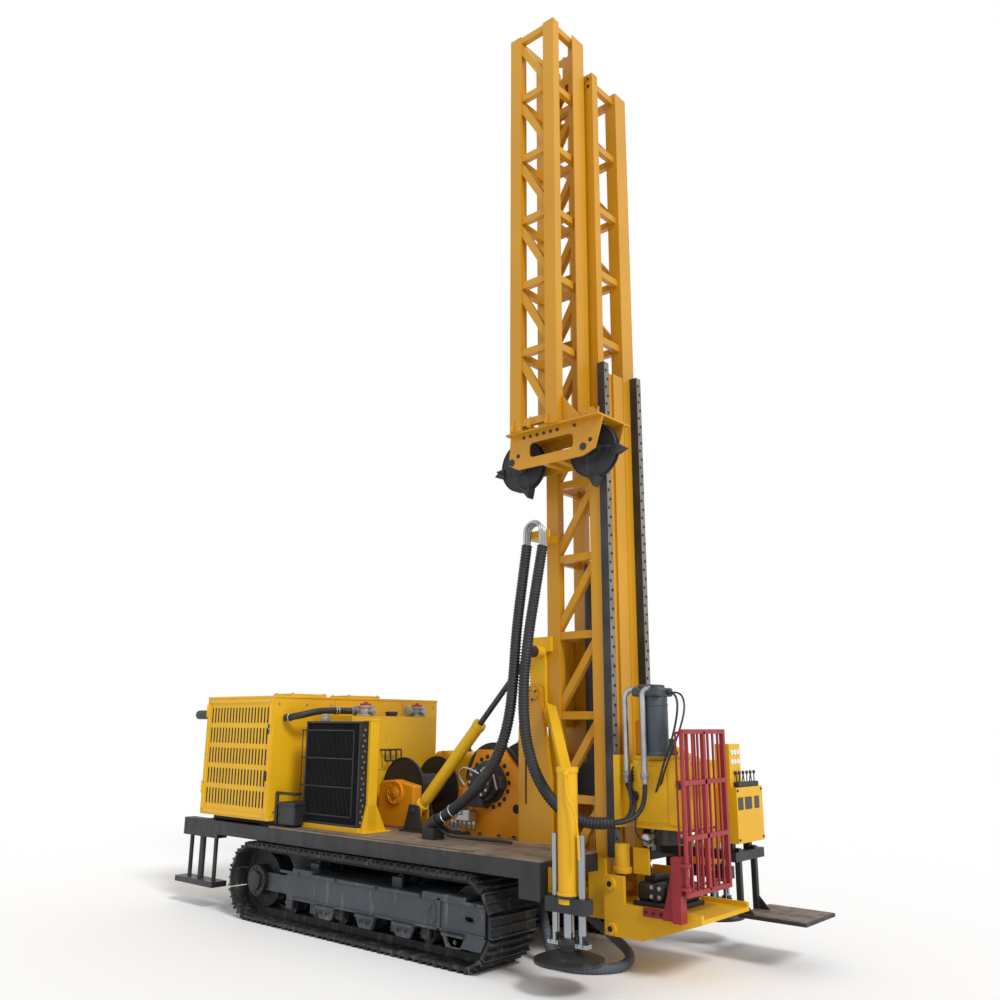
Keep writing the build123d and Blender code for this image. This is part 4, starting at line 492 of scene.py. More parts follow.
def thinHose(name, points, diameter, body):
    steps = evenSteps(smoothLine(points), diameter)
    hose = dress(tubeAlong(name, steps, [diameter / 2], 12), "sleeveRubber", body)
    return hose


# Radiator pack
radiator = {"low": (-1.13, -0.91, 0.86), "high": (-0.37, -0.74, 1.74), "rim": 0.018, "fins": 40,
    "wires": (0.94, 1.18, 1.42, 1.66)}
(rx0, ry0, rz0), (rx1, ry1, rz1) = radiator["low"], radiator["high"]
rim = radiator["rim"]
core = block("radiatorCore", (rx0 + 0.01, ry0 + 0.022, rz0 + 0.01), (rx1 - 0.01, ry1 - 0.01, rz1 - 0.01),
    0.003)
dress(core, "meshCore", "chassis")
bars = [block("rim", (rx0, ry0, rz0), (rx0 + rim, ry1, rz1)), block("rim", (rx1 - rim, ry0, rz0),
    (rx1, ry1, rz1)),
        block("rim", (rx0 + rim, ry0, rz0), (rx1 - rim, ry1, rz0 + rim)),
            block("rim", (rx0 + rim, ry0, rz1 - rim), (rx1 - rim, ry1, rz1))]
fin = block("fin", (rx0 + 0.03, ry0 + 0.01, rz0 + rim), (rx0 + 0.034, ry0 + 0.023, rz1 - rim), 0.001)
pitch = (rx1 - rx0 - 0.064) / (radiator["fins"] - 1)
dress(joined("radiatorFins", copies(fin, [(pitch * i, 0, 0) for i in range(1, radiator["fins"])])),
    "meshCore", "chassis")
shell = dress(joined("radiatorShell", bars), "blackEnamel", "chassis")
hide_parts("radiator")
wires = []
for z in radiator["wires"]:
    wires.append(rod("wire", (rx0 - 0.035, ry0 - 0.02, z), (rx1 - 0.06, ry0 - 0.02, z), 0.006, 10, 0.001))
    wires.append(rod("wire", (rx0 - 0.03, ry0 - 0.02, z), (rx0 - 0.03, ry1, z), 0.006, 10, 0.001))
for x in (rx0 - 0.03, rx1 - 0.07):
    wires.append(rod("wire", (x, ry0 - 0.012, 0.94), (x, ry0 - 0.012, 1.66), 0.005, 10, 0.001))
dress(joined("guardWires", wires), "blackEnamel", "chassis")
neck = [rod("neck", (-0.96, -0.83, 1.735), (-0.96, -0.83, 1.78), 0.045),
    rod("neckCap", (-0.96, -0.83, 1.777), (-0.96, -0.83, 1.805), 0.036, 16)]
dress(joined("radiatorNeck", neck), "castAluminium", "chassis")
bolts("radiatorBolts", [((rx1, ry0 + 0.035 + 0.02 * (i % 2), 0.9 + 0.045 * i),
    (1, 0, 0)) for i in range(18)], 0.008, "chassis", "zincTube")
standPieces = [block("post", (-0.37, -0.82, 0.813), (-0.335, -0.725, 1.75)),
               plate("foot", [(-0.88, 0.813), (-0.605, 0.813), (-0.725, 1.04), (-0.82, 1.04)], "x", -0.37,
                   0.035),
               block("footPlate", (-0.47, -0.9, 0.813), (-0.3, -0.58, 0.826)),
                   block("sill", (-1.13, -0.91, 0.813), (-0.37, -0.76, 0.858)),
               block("cap", (-0.42, -0.83, 1.742), (-0.33, -0.72, 1.756))]
stand = dress(joined("radiatorPost", standPieces), "yellowEnamel", "chassis")
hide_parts("radiator_stand")
box = [block("case", (-1.34, -1.02, 0.83), (-1.1, -0.82, 1.01), 0.012),
    block("lid", (-1.35, -1.03, 1.0), (-1.09, -0.81, 1.025), 0.006),
       rod("rail", (-1.4, -1.0, 1.1), (-1.14, -1.0, 1.1), 0.014, 14),
           rod("rail", (-1.14, -0.92, 1.1), (-1.14, -1.0, 1.1), 0.014, 14),
       rod("rail", (-1.385, -1.0, 1.1), (-1.385, -1.0, 0.815), 0.014, 14)]
dress(joined("toolBox", box), "blackEnamel", "chassis")
print("radiator pack")

# Engine housing
housing = {"low": (-2.55, -1.07, 0.854), "high": (-1.42, 1.07, 1.97), "frame": 0.03, "proud": 0.012}
(hx0, hy0, hz0), (hx1, hy1, hz1) = housing["low"], housing["high"]
frameWidth, proud = housing["frame"], housing["proud"]
trim = []
for side in (-1, 1):
    y0, y1 = sorted((side * (hy1 - 0.002), side * (hy1 + proud)))
    trim += [block("trim", (hx0 + 0.03, y0, hz0 + 0.02), (hx0 + 0.03 + frameWidth, y1, hz1 - 0.03)),
        block("trim", (hx1 - 0.03 - frameWidth, y0, hz0 + 0.02), (hx1 - 0.03, y1, hz1 - 0.03)),
             block("trim", (hx0 + 0.06, y0, hz0 + 0.02), (hx1 - 0.06, y1, hz0 + 0.05)),
                 block("trim", (hx0 + 0.06, y0, hz1 - 0.06), (hx1 - 0.06, y1, hz1 - 0.03))]
    for z in (1.05, 1.78):
        trim.append(rod("hinge", (hx0 + 0.02, side * (hy1 + 0.01), z),
            (hx0 + 0.02, side * (hy1 + 0.01), z + 0.12), 0.013, 14))
# drip edge round the roof, the seams of the end wall, and a dark sheet of painted shade behind the louvres
trim += [block("edge", (hx0 - 0.004, hy0 - 0.004, hz1 - 0.018), (hx1 + 0.008, hy1 + 0.004, hz1 + 0.002)),
         block("seam", (hx1 - 0.002, -0.36, 0.9), (hx1 + 0.009, -0.348, 1.94), 0.002),
             block("seam", (hx1 - 0.002, 0.55, 0.9), (hx1 + 0.009, 0.562, 1.94), 0.002),
         block("seam", (hx1 - 0.002, -1.05, 0.9), (hx1 + 0.009, 1.05, 0.912), 0.002)]
for y in (-0.75, -0.15, 0.45):
    trim += [block("doorEdge", (hx0 - 0.01, y - 0.26, 0.95), (hx0 + 0.002, y + 0.26, 1.85), 0.004)]
    trim += copies(block("slat", (hx0 - 0.02, y - 0.2, 1.1), (hx0 - 0.004, y + 0.2, 1.13), 0.004),
        [(0, 0, 0.07 * i) for i in range(1, 9)])
dress(joined("housingTrim", trim), "yellowEnamel", "chassis")
# a thin dark sheet just inside each side wall, painted shade seen through the louvres
louvreShade = copies(block("louvreShade", (-2.53, -1.067, 0.88), (-1.44, -1.062, 1.94), 0.0005), [(0, 2.129, 0)])
dress(joined("housingLouvreShade", louvreShade), "paintedShade", "chassis")
handles = []
for side in (-1, 1):
    for z in (1.2, 1.62):
        y = side * (hy1 + 0.004)
        handles += [block("latch", (hx1 - 0.068, min(y, y + side * 0.012), z),
            (hx1 - 0.04, max(y, y + side * 0.012), z + 0.09), 0.005)]
handles += [block("latch", (hx0 - 0.03, 0.18 + i * 0.6 - 0.6, 1.4), (hx0 - 0.008, 0.2 + i * 0.6 - 0.6, 1.5),
    0.005) for i in range(3)]
dress(joined("housingLatches", handles), "blackEnamel", "chassis")
spots = [((x, side * (hy1 + proud), z), (0, side, 0)) for side in (-1, 1) for x in (hx0 + 0.045,
    hx1 - 0.045) for z in (0.9, 1.15, 1.41, 1.67, 1.92)]
spots += [((hx1 + 0.008, y, z), (1, 0, 0)) for y in (-1.02, -0.7, -0.4, 0.6, 1.02) for z in (0.93, 1.9)]
bolts("housingBolts", spots, 0.008, "chassis", "zincTube")
bolts("roofBolts", [((-1.64 + dx, y0 + dy, hz1 + 0.028), (0, 0, 1)) for y0 in (-0.62,
    0.08) for dx in (-0.13, 0.13) for dy in (-0.19, 0.19)], 0.01, "chassis", "zincTube")
muffler = [rod("flange", (-2.57, -0.93, 1.8), (-2.553, -0.93, 1.8), 0.085),
    rod("sleeve", (-2.75, -0.93, 1.8), (-2.68, -0.93, 1.8), 0.053),
    rod("clamp", (-2.64, -0.93, 1.8), (-2.62, -0.93, 1.8), 0.056)]
dress(joined("exhaustFlange", muffler), "exhaustSteel", "chassis")
nodes["exhaust_pipe"].data.materials[0] = finishes["exhaustSteel"]
print("housing")

# Hydraulic tank
tank = {"low": (-1.39, -0.6, 0.813), "high": (-0.86, 0.5, 1.79),
    "filters": ((-0.98, -0.335), (-0.98, 0.345))}
heads, caps = [], []
for x, y in tank["filters"]:
    side = -0.13 if y < 0 else 0.0
    heads += [rod("base", (x, y, 1.79), (x, y, 1.806), 0.095, 24),
        rod("body", (x, y, 1.8), (x, y, 1.872), 0.068), rod("collar", (x, y, 1.866), (x, y, 1.888), 0.08,
        24),
              rod("port", (x, y, 1.84), (x + side, y - 0.13 - side, 1.84), 0.036, 20),
              rod("portFlange", (x + side * 0.92, y - 0.12 - side * 0.92, 1.84),
                  (x + side * 1.08, y - 0.14 - side * 1.08, 1.84), 0.056, 20),
                  rod("port", (x, y, 1.835), (x + 0.12, y, 1.835), 0.03, 18)]
    caps += [rod("cap", (x, y, 1.886), (x, y, 1.91), 0.055, 20),
        rod("knob", (x, y, 1.908), (x, y, 1.925), 0.018, 14)]
heads = dress(joined("filterHeads", heads), "castAluminium", "chassis")
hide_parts("return_filters")
dress(joined("filterCaps", caps), "capRed", "chassis")
filler = [rod("neck", (-0.98, 0.0, 1.79), (-0.98, 0.0, 1.812), 0.055),
    rod("cap", (-0.98, 0.0, 1.81), (-0.98, 0.0, 1.838), 0.062, 20, 0.008)]
dress(joined("tankFiller", filler), "blackEnamel", "chassis")
bolts("filterBolts", [((x + 0.082 * math.cos(a), y + 0.082 * math.sin(a), 1.806), (0, 0, 1)) for x,
    y in tank["filters"] for a in (0.4, 1.45, 2.5, 3.54, 4.6, 5.6)], 0.008, "chassis", "zincTube")
returnLine = smoothLine([(-1.105, -0.335, 1.84), (-1.17, -0.36, 1.84), (-1.2, -0.45, 1.84),
    (-1.2, -0.6, 1.84), (-1.2, -0.75, 1.83), (-1.22, -0.88, 1.8), (-1.29, -0.94, 1.78),
    (-1.4, -0.95, 1.77)])
dress(tubeAlong("returnLine", evenSteps(returnLine, 0.02), [0.032], 16), "blackEnamel", "chassis")
clips = [ring("clip", (-1.2, -0.5, 1.84), (0, 1, 0), 0.034, 0.006),
    ring("clip", (-1.2, -0.53, 1.84), (0, 1, 0), 0.034, 0.006), ring("clip", (-1.33, -0.95, 1.774),
    (1, 0, 0), 0.034, 0.005)]
dress(joined("returnClips", clips), "zincTube", "chassis")
ladder = [rod("rung", (-0.86, -0.235 + 0.1 * i, 1.48), (-0.79, -0.235 + 0.1 * i, 1.48), 0.009,
    10) for i in range(3)]
ladder += [rod("rung", (-0.79, -0.235, z), (-0.79, -0.03, z), 0.009, 10) for z in (1.38,
    1.48)] + [rod("rung", (-0.79, -0.235 + 0.068 * i, 1.38), (-0.79, -0.235 + 0.068 * i, 1.48), 0.008,
    10) for i in range(4)]
dress(joined("tankBracket", ladder), "blackEnamel", "chassis")
tankTrim = [block("seam", (-0.861, -0.598, 1.3), (-0.853, 0.498, 1.312), 0.002),
    rod("cover", (-0.861, 0.28, 1.1), (-0.85, 0.28, 1.1), 0.14, 36),
    block("seam", (-1.385, -0.606, 1.2), (-0.865, -0.599, 1.212), 0.002)]
dress(joined("tankTrim", tankTrim), "yellowEnamel", "chassis")
bolts("tankBolts", [((-0.85, 0.28 + 0.12 * math.cos(a * math.pi / 5),
    1.1 + 0.12 * math.sin(a * math.pi / 5)), (1, 0, 0)) for a in range(10)], 0.008, "chassis")
gauge = [rod("glass", (-0.856, -0.12, 1.0), (-0.856, -0.12, 1.24), 0.012, 12),
    block("cap", (-0.862, -0.135, 0.98), (-0.842, -0.105, 1.0)),
    block("cap", (-0.862, -0.135, 1.24), (-0.842, -0.105, 1.26))]
dress(joined("levelGauge", gauge), "darkGlass", "chassis")
fuel = [rod("neck", (-0.7, 0.8, 1.445), (-0.7, 0.8, 1.47), 0.05),
    rod("cap", (-0.7, 0.8, 1.468), (-0.7, 0.8, 1.495), 0.044, 12, 0.005)]
dress(joined("fuelCap", fuel), "blackEnamel", "chassis")
straps = copies(block("strap", (-0.86, 0.585, 0.815), (-0.81, 1.015, 1.457), 0.004), [(0.6, 0, 0)])
dress(joined("fuelStraps", straps), "yellowEnamel", "chassis")
print("tanks")

# Wireline winch
wireWinch = {"x": -0.54, "z": 1.145, "near": -0.343, "cover": (-0.512, 1.113), "drum": 0.11, "rope": 0.006,
    "half": 0.205}
gearOutline = [(-0.742, 0.813), (-0.742, 1.175), (-0.705, 1.208), (-0.54, 1.225), (-0.282, 1.18),
    (-0.282, 0.813)]
farOutline = [(-0.74, 0.813), (-0.74, 1.1), (-0.62, 1.2), (-0.46, 1.2), (-0.3, 1.14), (0.02, 1.12),
    (0.02, 1.03), (-0.3, 1.02), (-0.3, 0.813)]
coverX, coverZ = wireWinch["cover"]
gear = [plate("gearCase", gearOutline, "y", wireWinch["near"], 0.11, 0.014),
    plate("farStand", farOutline, "y", 0.233, 0.03),
        rod("cover", (coverX, -0.343, coverZ), (coverX, -0.356, coverZ), 0.105, 40),
            rod("coverHub", (coverX, -0.354, coverZ), (coverX, -0.366, coverZ), 0.045, 28),
        ring("coverRim", (coverX, -0.357, coverZ), (0, 1, 0), 0.094, 0.006, 40),
            block("tie", (-0.72, -0.24, 0.813), (-0.3, 0.24, 0.855))]
gear = dress(joined("wirelineGear", gear), "orangeEnamel", "chassis")
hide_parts("wireline_winch_frame")
bolts("coverBolts", [((coverX + 0.078 * math.cos(a * math.pi / 4), -0.356,
    coverZ + 0.078 * math.sin(a * math.pi / 4)), (0, -1, 0)) for a in range(8)] + [((coverX, -0.366,
    coverZ), (0, -1, 0))], 0.008, "chassis", "orangeEnamel")
turns = ring("turns", (wireWinch["x"], -wireWinch["half"], wireWinch["z"]), (0, 1, 0),
    wireWinch["drum"] + 0.004, wireWinch["rope"], 30)
turns = joined("wirelineTurns", copies(turns, [(0, 0.0124 * i, 0) for i in range(1, 34)]))
dress(turns, "railSteel", "wireline_drum")
flangeTrim = [ring("rim", (wireWinch["x"], y, wireWinch["z"]), (0, 1, 0), 0.268, 0.006,
    48) for y in (-0.226, 0.226)]
dress(joined("wirelineRims", flangeTrim), "blackEnamel", "wireline_drum")

# Main winch
winch = {"x": 0.555, "z": 1.25, "plate": -0.248, "circle": 0.205, "count": 18, "motor": 0.15}
wx, wz, wy = winch["x"], winch["z"], winch["plate"]
bolts("winchBolts", [((wx + winch["circle"] * math.cos(a * 2 * math.pi / winch["count"]), wy,
    wz + winch["circle"] * math.sin(a * 2 * math.pi / winch["count"])),
    (0, -1, 0)) for a in range(winch["count"])], 0.014, "chassis", "castIron")
bolts("winchFarBolts", [((wx + winch["circle"] * math.cos(a * math.pi / 6), -wy,
    wz + winch["circle"] * math.sin(a * math.pi / 6)), (0, 1, 0)) for a in range(12)], 0.014, "chassis",
    "castIron")
bolts("winchFootBolts", [((x, side * 0.262, 0.826), (0, 0, 1)) for x in (0.3, 0.45, 0.66,
    0.82) for side in (-1, 1)], 0.012, "chassis", "castIron")
motor = [rod("flange", (wx, wy, wz), (wx, wy - 0.03, wz), 0.172, 40),
    rod("case", (wx, wy - 0.11, wz), (wx, wy - 0.15, wz), 0.12, 36),
    rod("case", (wx, wy - 0.148, wz), (wx, wy - 0.17, wz), 0.075, 30),
         block("port", (wx - 0.13, wy - 0.14, wz - 0.2), (wx + 0.02, wy - 0.02, wz - 0.12), 0.01),
             block("port", (wx + 0.02, wy - 0.15, wz + 0.08), (wx + 0.13, wy - 0.03, wz + 0.16), 0.01),
         block("ear", (wx - 0.19, wy - 0.09, wz - 0.05), (wx - 0.13, wy - 0.01, wz + 0.05), 0.012),
             block("ear", (wx + 0.13, wy - 0.09, wz - 0.05), (wx + 0.19, wy - 0.01, wz + 0.05), 0.012)]
dress(joined("winchMotorCase", motor), "castIron", "chassis")
bolts("winchMotorBolts", [((wx + 0.1 * math.cos(a * math.pi / 5), wy - 0.15,
    wz + 0.1 * math.sin(a * math.pi / 5)), (0, -1, 0)) for a in range(10)], 0.009, "chassis", "zincTube")
valves = [block("valve", (0.28, -0.39, 0.93), (0.44, -0.29, 1.02), 0.008),
    block("valve", (0.3, -0.41, 0.98), (0.36, -0.3, 1.06), 0.008)]
valves += [rod("fitting", (x, -0.36, 0.87), (x, -0.36, 0.935), 0.013, 12) for x in (0.23, 0.27, 0.32, 0.37,
    0.42, 0.47)]
valves += [rod("nut", (x, -0.36, 0.9), (x, -0.36, 0.925), 0.019, 6) for x in (0.23, 0.27, 0.32, 0.37, 0.42,
    0.47)]
dress(joined("winchValves", valves), "zincTube", "chassis")
pipes = [[(0.4, -0.4, 1.22), (0.34, -0.42, 1.3), (0.4, -0.44, 1.37), (0.5, -0.44, 1.36),
    (0.58, -0.42, 1.32)], [(0.36, -0.36, 1.05), (0.35, -0.4, 1.12), (0.42, -0.42, 1.14),
    (0.48, -0.4, 1.13)],
         [(0.62, -0.42, 1.36), (0.7, -0.43, 1.4), (0.74, -0.42, 1.32), (0.74, -0.38, 1.2)]]
dress(joined("winchPipes", [tubeAlong("winchPipe", evenSteps(smoothLine(line), 0.012), [0.009],
    10) for line in pipes]), "zincTube", "chassis")
mainTurns = ring("turns", (wx, -0.186, wz), (0, 1, 0), 0.158, 0.009, 36)
dress(joined("mainTurns", copies(mainTurns, [(0, 0.0186 * i, 0) for i in range(1, 21)])), "railSteel",
    "main_drum")
rims = [ring("rim", (wx, y, wz), (0, 1, 0), 0.314, 0.007, 56) for y in (-0.203, 0.203)]
dress(joined("mainRims", rims), "blackEnamel", "main_drum")
# a dark rim and disc of painted shade stand in for the depth of the hole in the winch plate
hole = [ring("hole", (0.84, wy - 0.001, 1.046), (0, 1, 0), 0.032, 0.005, 24),
    rod("dark", (0.84, wy, 1.046), (0.84, wy - 0.002, 1.046), 0.03, 24, 0.0005)]
dress(joined("winchEyeShade", hole), "paintedShade", "chassis")
print("winches")

# Lift cylinders and pedestal
for side, tag in ((-1, "Right"), (1, "Left")):
    foot, eye = Vector((-0.15, side * 0.385, 1.0)), Vector((1.12, side * 0.385, 2.305))
    way = (eye - foot).normalized()
    collars = [rod("collar", foot + way * a, foot + way * b, r) for a, b,
        r in ((0.02, 0.06, 0.06), (0.965, 1.012, 0.058))]
    dress(joined("liftCollars" + tag, collars), "yellowEnamel", "lift_barrels")
    lugs = [plate("lug", [(-0.27, 0.813), (-0.02, 0.813), (-0.09, 1.03), (-0.2, 1.04)], "y",
        side * 0.385 + offset, 0.018) for offset in (-0.085, 0.067)]
    lugs += [block("foot", (-0.29, side * 0.385 - 0.11, 0.813), (0.01, side * 0.385 + 0.11, 0.828)),
        rod("pin", (-0.15, side * 0.385 - 0.1, 0.985), (-0.15, side * 0.385 + 0.1, 0.985), 0.024, 18)]
    dress(joined("liftFoot" + tag, lugs), "blackEnamel", "chassis")
    caps = [rod("cap", (1.075, side * 0.315, 1.965), (1.075, side * 0.33, 1.965), 0.055, 28),
        ring("slot", (1.075, side * 0.331, 1.965), (0, 1, 0), 0.035, 0.004, 24)]
    dress(joined("pivotCap" + tag, caps), "amberEnamel", "chassis")
    bolts("pivotBolts" + tag, [((1.075 + 0.045 * math.cos(a), side * 0.33, 1.965 + 0.045 * math.sin(a)),
        (0, side, 0)) for a in (0.5, 2.6, 4.7)], 0.008, "chassis", "castIron")
    # a thin dark strip of painted shade marks each slot in the cheek plate
    slots = [block("slot", (0.99, min(side * 0.3145, side * 0.3165), 1.1),
        (1.006, max(side * 0.3145, side * 0.3165), 1.75), 0.0005)]
    dress(joined("cheekSlotShade" + tag, slots), "paintedShade", "chassis")
print("lift")

# Track frames
for side, tag in ((-1, "Right"), (1, "Left")):
    face = side * 1.078
    near, far = sorted((face, face + side * 0.012))
    seam = [block("seam", (0.78, near, 0.25), (0.812, far, 0.475), 0.003),
        block("lip", (-1.16, near, 0.452), (1.25, far, 0.474), 0.003),
        block("lip", (-1.0, near, 0.25), (1.25, far, 0.268), 0.003),
            ring("slotRim", (1.1, face, 0.36), (0, 1, 0), 0.036, 0.006, 24)]
    seam[-1].data.transform(Matrix.Translation((1.1, face, 0.36)) @ Matrix.Diagonal((1.5, 1, 0.75,
        1)) @ Matrix.Translation((-1.1, -face, -0.36)))
    arch = ring("arch", (0.73, face, 0.355), (0, 1, 0), 0.062, 0.008, 32)
    arch.data.transform(Matrix.Translation((0.73, face, 0.355)) @ Matrix.Diagonal((0.62, 1, 1,
        1)) @ Matrix.Translation((-0.73, -face, -0.355)))
    seam.append(arch)
    for x in (-0.52, -0.02, 0.42, 0.95):
        seam.append(plate("bracket", [(x - 0.13, 0.262), (x + 0.13, 0.262), (x + 0.07, 0.15),
            (x - 0.07, 0.15)], "y", near - (0.03 if side > 0 else 0), 0.03))
        seam.append(block("shelf", (x - 0.11, face - 0.05 if side > 0 else face - 0.028, 0.228),
            (x + 0.11, face + 0.028 if side > 0 else face + 0.05, 0.244)))
    seam += [plate("guard", [(0.86, 0.25), (1.27, 0.25), (1.22, 0.16), (0.93, 0.16)], "y",
        near - (0.024 if side > 0 else 0.0), 0.024), block("top",
        (-0.98, near - 0.2 if side > 0 else near, 0.47), (-0.72, far if side > 0 else far + 0.2, 0.5)),
        block("top", (0.62, near - 0.2 if side > 0 else near, 0.47),
        (1.06, far if side > 0 else far + 0.2, 0.5))]
    dress(joined("trackFrameTrim" + tag, seam), "slateEnamel", "chassis")
    spots = [((x + dx, face + side * 0.03, 0.2), (0, side, 0)) for x in (-0.52, -0.02, 0.42,
        0.95) for dx in (-0.04, 0.04)] + [((x, face + side * 0.012, 0.463), (0, side, 0)) for x in (-0.9,
        -0.4, 0.1, 0.6, 1.15)]
    bolts("trackFrameBolts" + tag, spots, 0.012, "chassis")
    hubs = [rod("hub", (-1.594, side * 0.93, 0.333), (-1.594, side * 1.03, 0.333), 0.13, 36),
        rod("hub", (-1.594, side * 1.02, 0.333), (-1.594, side * 1.06, 0.333), 0.085, 30),
        rod("hub", (1.014, side * 0.93, 0.333), (1.014, side * 1.02, 0.333), 0.08, 28)]
    dress(joined("wheelHubs" + tag, hubs), "blackEnamel", "chassis")
    bolts("hubBolts" + tag, [((-1.594 + 0.107 * math.cos(a * math.pi / 6), side * 1.03,
        0.333 + 0.107 * math.sin(a * math.pi / 6)), (0, side, 0)) for a in range(12)], 0.01, "chassis")
print("track frames")

# Front jacks
for side, tag in ((-1, "right"), (1, "left")):
    body, jackY = "front_leg_" + tag, side * 1.0
    sleeve = [rod("ring", (1.93, jackY, 0.612), (1.93, jackY, 0.632), 0.08, 36),
        rod("head", (1.93, jackY, 1.4), (1.93, jackY, 1.437), 0.077, 36),
        rod("eye", (1.93, jackY - 0.05, 1.39), (1.93, jackY + 0.05, 1.39), 0.02, 16)]
    dress(joined("jackSleeve" + tag, sleeve), "yellowEnamel", "chassis")
    dark = [rod("seal", (1.93, jackY, 0.594), (1.93, jackY, 0.612), 0.084, 36),
        block("clamp", (1.765, jackY - 0.054, 0.502), (1.853, jackY + 0.054, 0.599), 0.006),
        block("clamp", (2.007, jackY - 0.054, 0.502), (2.095, jackY + 0.054, 0.599), 0.006),
            block("clamp", (1.85, jackY - 0.053, 0.503), (2.01, jackY + 0.053, 0.597), 0.004)]
    dress(joined("jackClamps" + tag, dark), "blackEnamel", "chassis")
    forks = []
    for dx in (-0.11, 0.11):
        forks += [block("fork", (1.93 + dx - 0.03, jackY - 0.03, 0.305),
            (1.93 + dx - 0.016, jackY + 0.03, 0.375), 0.004), block("fork",
            (1.93 + dx + 0.016, jackY - 0.03, 0.305), (1.93 + dx + 0.03, jackY + 0.03, 0.375), 0.004),
                  rod("forkPin", (1.93 + dx - 0.045, jackY, 0.345), (1.93 + dx + 0.045, jackY, 0.345),
                      0.011, 14)]
    forks += [rod("socket", (1.93, jackY, 0.3), (1.93, jackY, 0.345), 0.075, 32),
        ring("dishRim", (1.93, jackY, 0.212), (0, 0, 1), 0.226, 0.009, 48)]
    dress(joined("jackForks" + tag, forks), "blackEnamel", body)
    feed = smoothLine([(1.973, side * 1.08, 1.4), (1.97, side * 1.08, 1.249), (2.074, side * 1.08, 1.138),
        (2.078, side * 1.08, 0.853)])
    dress(joined("jackPipe" + tag, [tubeAlong("jackPipe", evenSteps(feed, 0.015), [0.008], 10),
        rod("nut", (1.973, side * 1.08, 1.385), (1.973, side * 1.08, 1.415), 0.016, 6),
        rod("boss", (1.95, side * 1.05, 1.4), (1.985, side * 1.085, 1.4), 0.02, 14)]), "yellowEnamel",
        "chassis")
print("jacks")

# Foot table, rod holder and gauge
# the pin ends in the foot table are thin dark discs of painted shade
for side in (-1, 1):
    y = side * 0.376
    near, far = sorted((y, y + side * 0.004))
    dress(joined("tablePins", [rod("pin", (1.83, near, z), (1.83, far, z), 0.02, 20, 0.001) for z in (0.598,
        0.295)]), "paintedShade", "lower_mast")
holder = [block("base", (1.91, -0.19, 0.44), (2.29, 0.19, 0.475), 0.008),
    rod("collar", (2.1, 0, 0.47), (2.1, 0, 0.56), 0.13, 40), block("jaw", (1.93, -0.16, 0.475),
    (2.03, 0.16, 0.6), 0.02),
          block("jaw", (2.17, -0.16, 0.475), (2.27, 0.16, 0.6), 0.02),
              rod("side", (2.1, -0.185, 0.545), (2.1, -0.06, 0.545), 0.062, 30),
              rod("side", (2.1, 0.06, 0.545), (2.1, 0.185, 0.545), 0.062, 30),
          block("bridge", (1.95, -0.1, 0.595), (2.06, 0.1, 0.645), 0.018),
              block("bridge", (2.14, -0.09, 0.59), (2.26, 0.09, 0.635), 0.018),
              rod("stub", (2.29, -0.08, 0.53), (2.22, -0.08, 0.53), 0.04, 24)]
holder = dress(joined("rodHolder", holder), "castIron", "lower_mast")
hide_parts("rod_holder")
bolts("holderBolts", [((2.1 + dx, dy, 0.476), (0, 0, 1)) for dx in (-0.16, 0.16) for dy in (-0.165,
    0.165)] + [((2.1 + 0.045 * math.cos(a), -0.186, 0.545 + 0.045 * math.sin(a)), (0, -1, 0)) for a in (0.7,
    2.3, 3.9, 5.5)], 0.012, "lower_mast", "zincTube")
feet = [block("plate", (1.914, -0.18, 0.655), (2.052, -0.162, 0.84), 0.004),
    rod("tube", (1.83, -0.2, 0.655), (1.83, -0.2, 0.864), 0.058, 30),
    rod("foot", (1.83, -0.2, 0.655), (1.83, -0.2, 0.7), 0.072, 30)]
dress(joined("footBlocks", feet), "yellowEnamel", "lower_mast")
dial = [rod("case", (2.063, -0.2, 0.915), (2.063, -0.24, 0.915), 0.035, 28),
    rod("stem", (2.063, -0.2, 0.88), (2.063, -0.2, 0.85), 0.01, 12),
    rod("tee", (2.03, -0.2, 0.87), (2.1, -0.2, 0.87), 0.012, 12)]
dress(joined("gaugeCase", dial), "castAluminium", "lower_mast")
dress(rod("gaugeDial", (2.063, -0.2405, 0.915), (2.063, -0.242, 0.915), 0.029, 28, 0.0004), "dialWhite",
    "lower_mast")
bolts("bracketBolts", [((x, -0.38, 0.445), (0, -1, 0)) for x in (2.14, 2.2, 2.26, 2.32)], 0.01,
    "lower_mast", "castIron")
cageBars = [block("middle", (2.484, -0.135, 0.6), (2.516, -0.1, 1.68), 0.004)]
for z in (0.62, 0.985, 1.325, 1.66):
    cageBars.append(block("inner", (2.425, -0.4, z), (2.441, 0.165, z + 0.018), 0.003))
cageBars += copies(block("thin", (2.427, -0.395, 0.62), (2.439, -0.383, 1.675), 0.002),
    [(0, 0.135 * i, 0) for i in range(1, 4)])
cageBars += [block("link", (2.44, y, z), (2.49, y + 0.018, z + 0.018), 0.003) for y in (-0.4,
    0.147) for z in (0.62, 1.66)]
dress(joined("cageInner", cageBars), "redEnamel", "cage")
print("foot table")

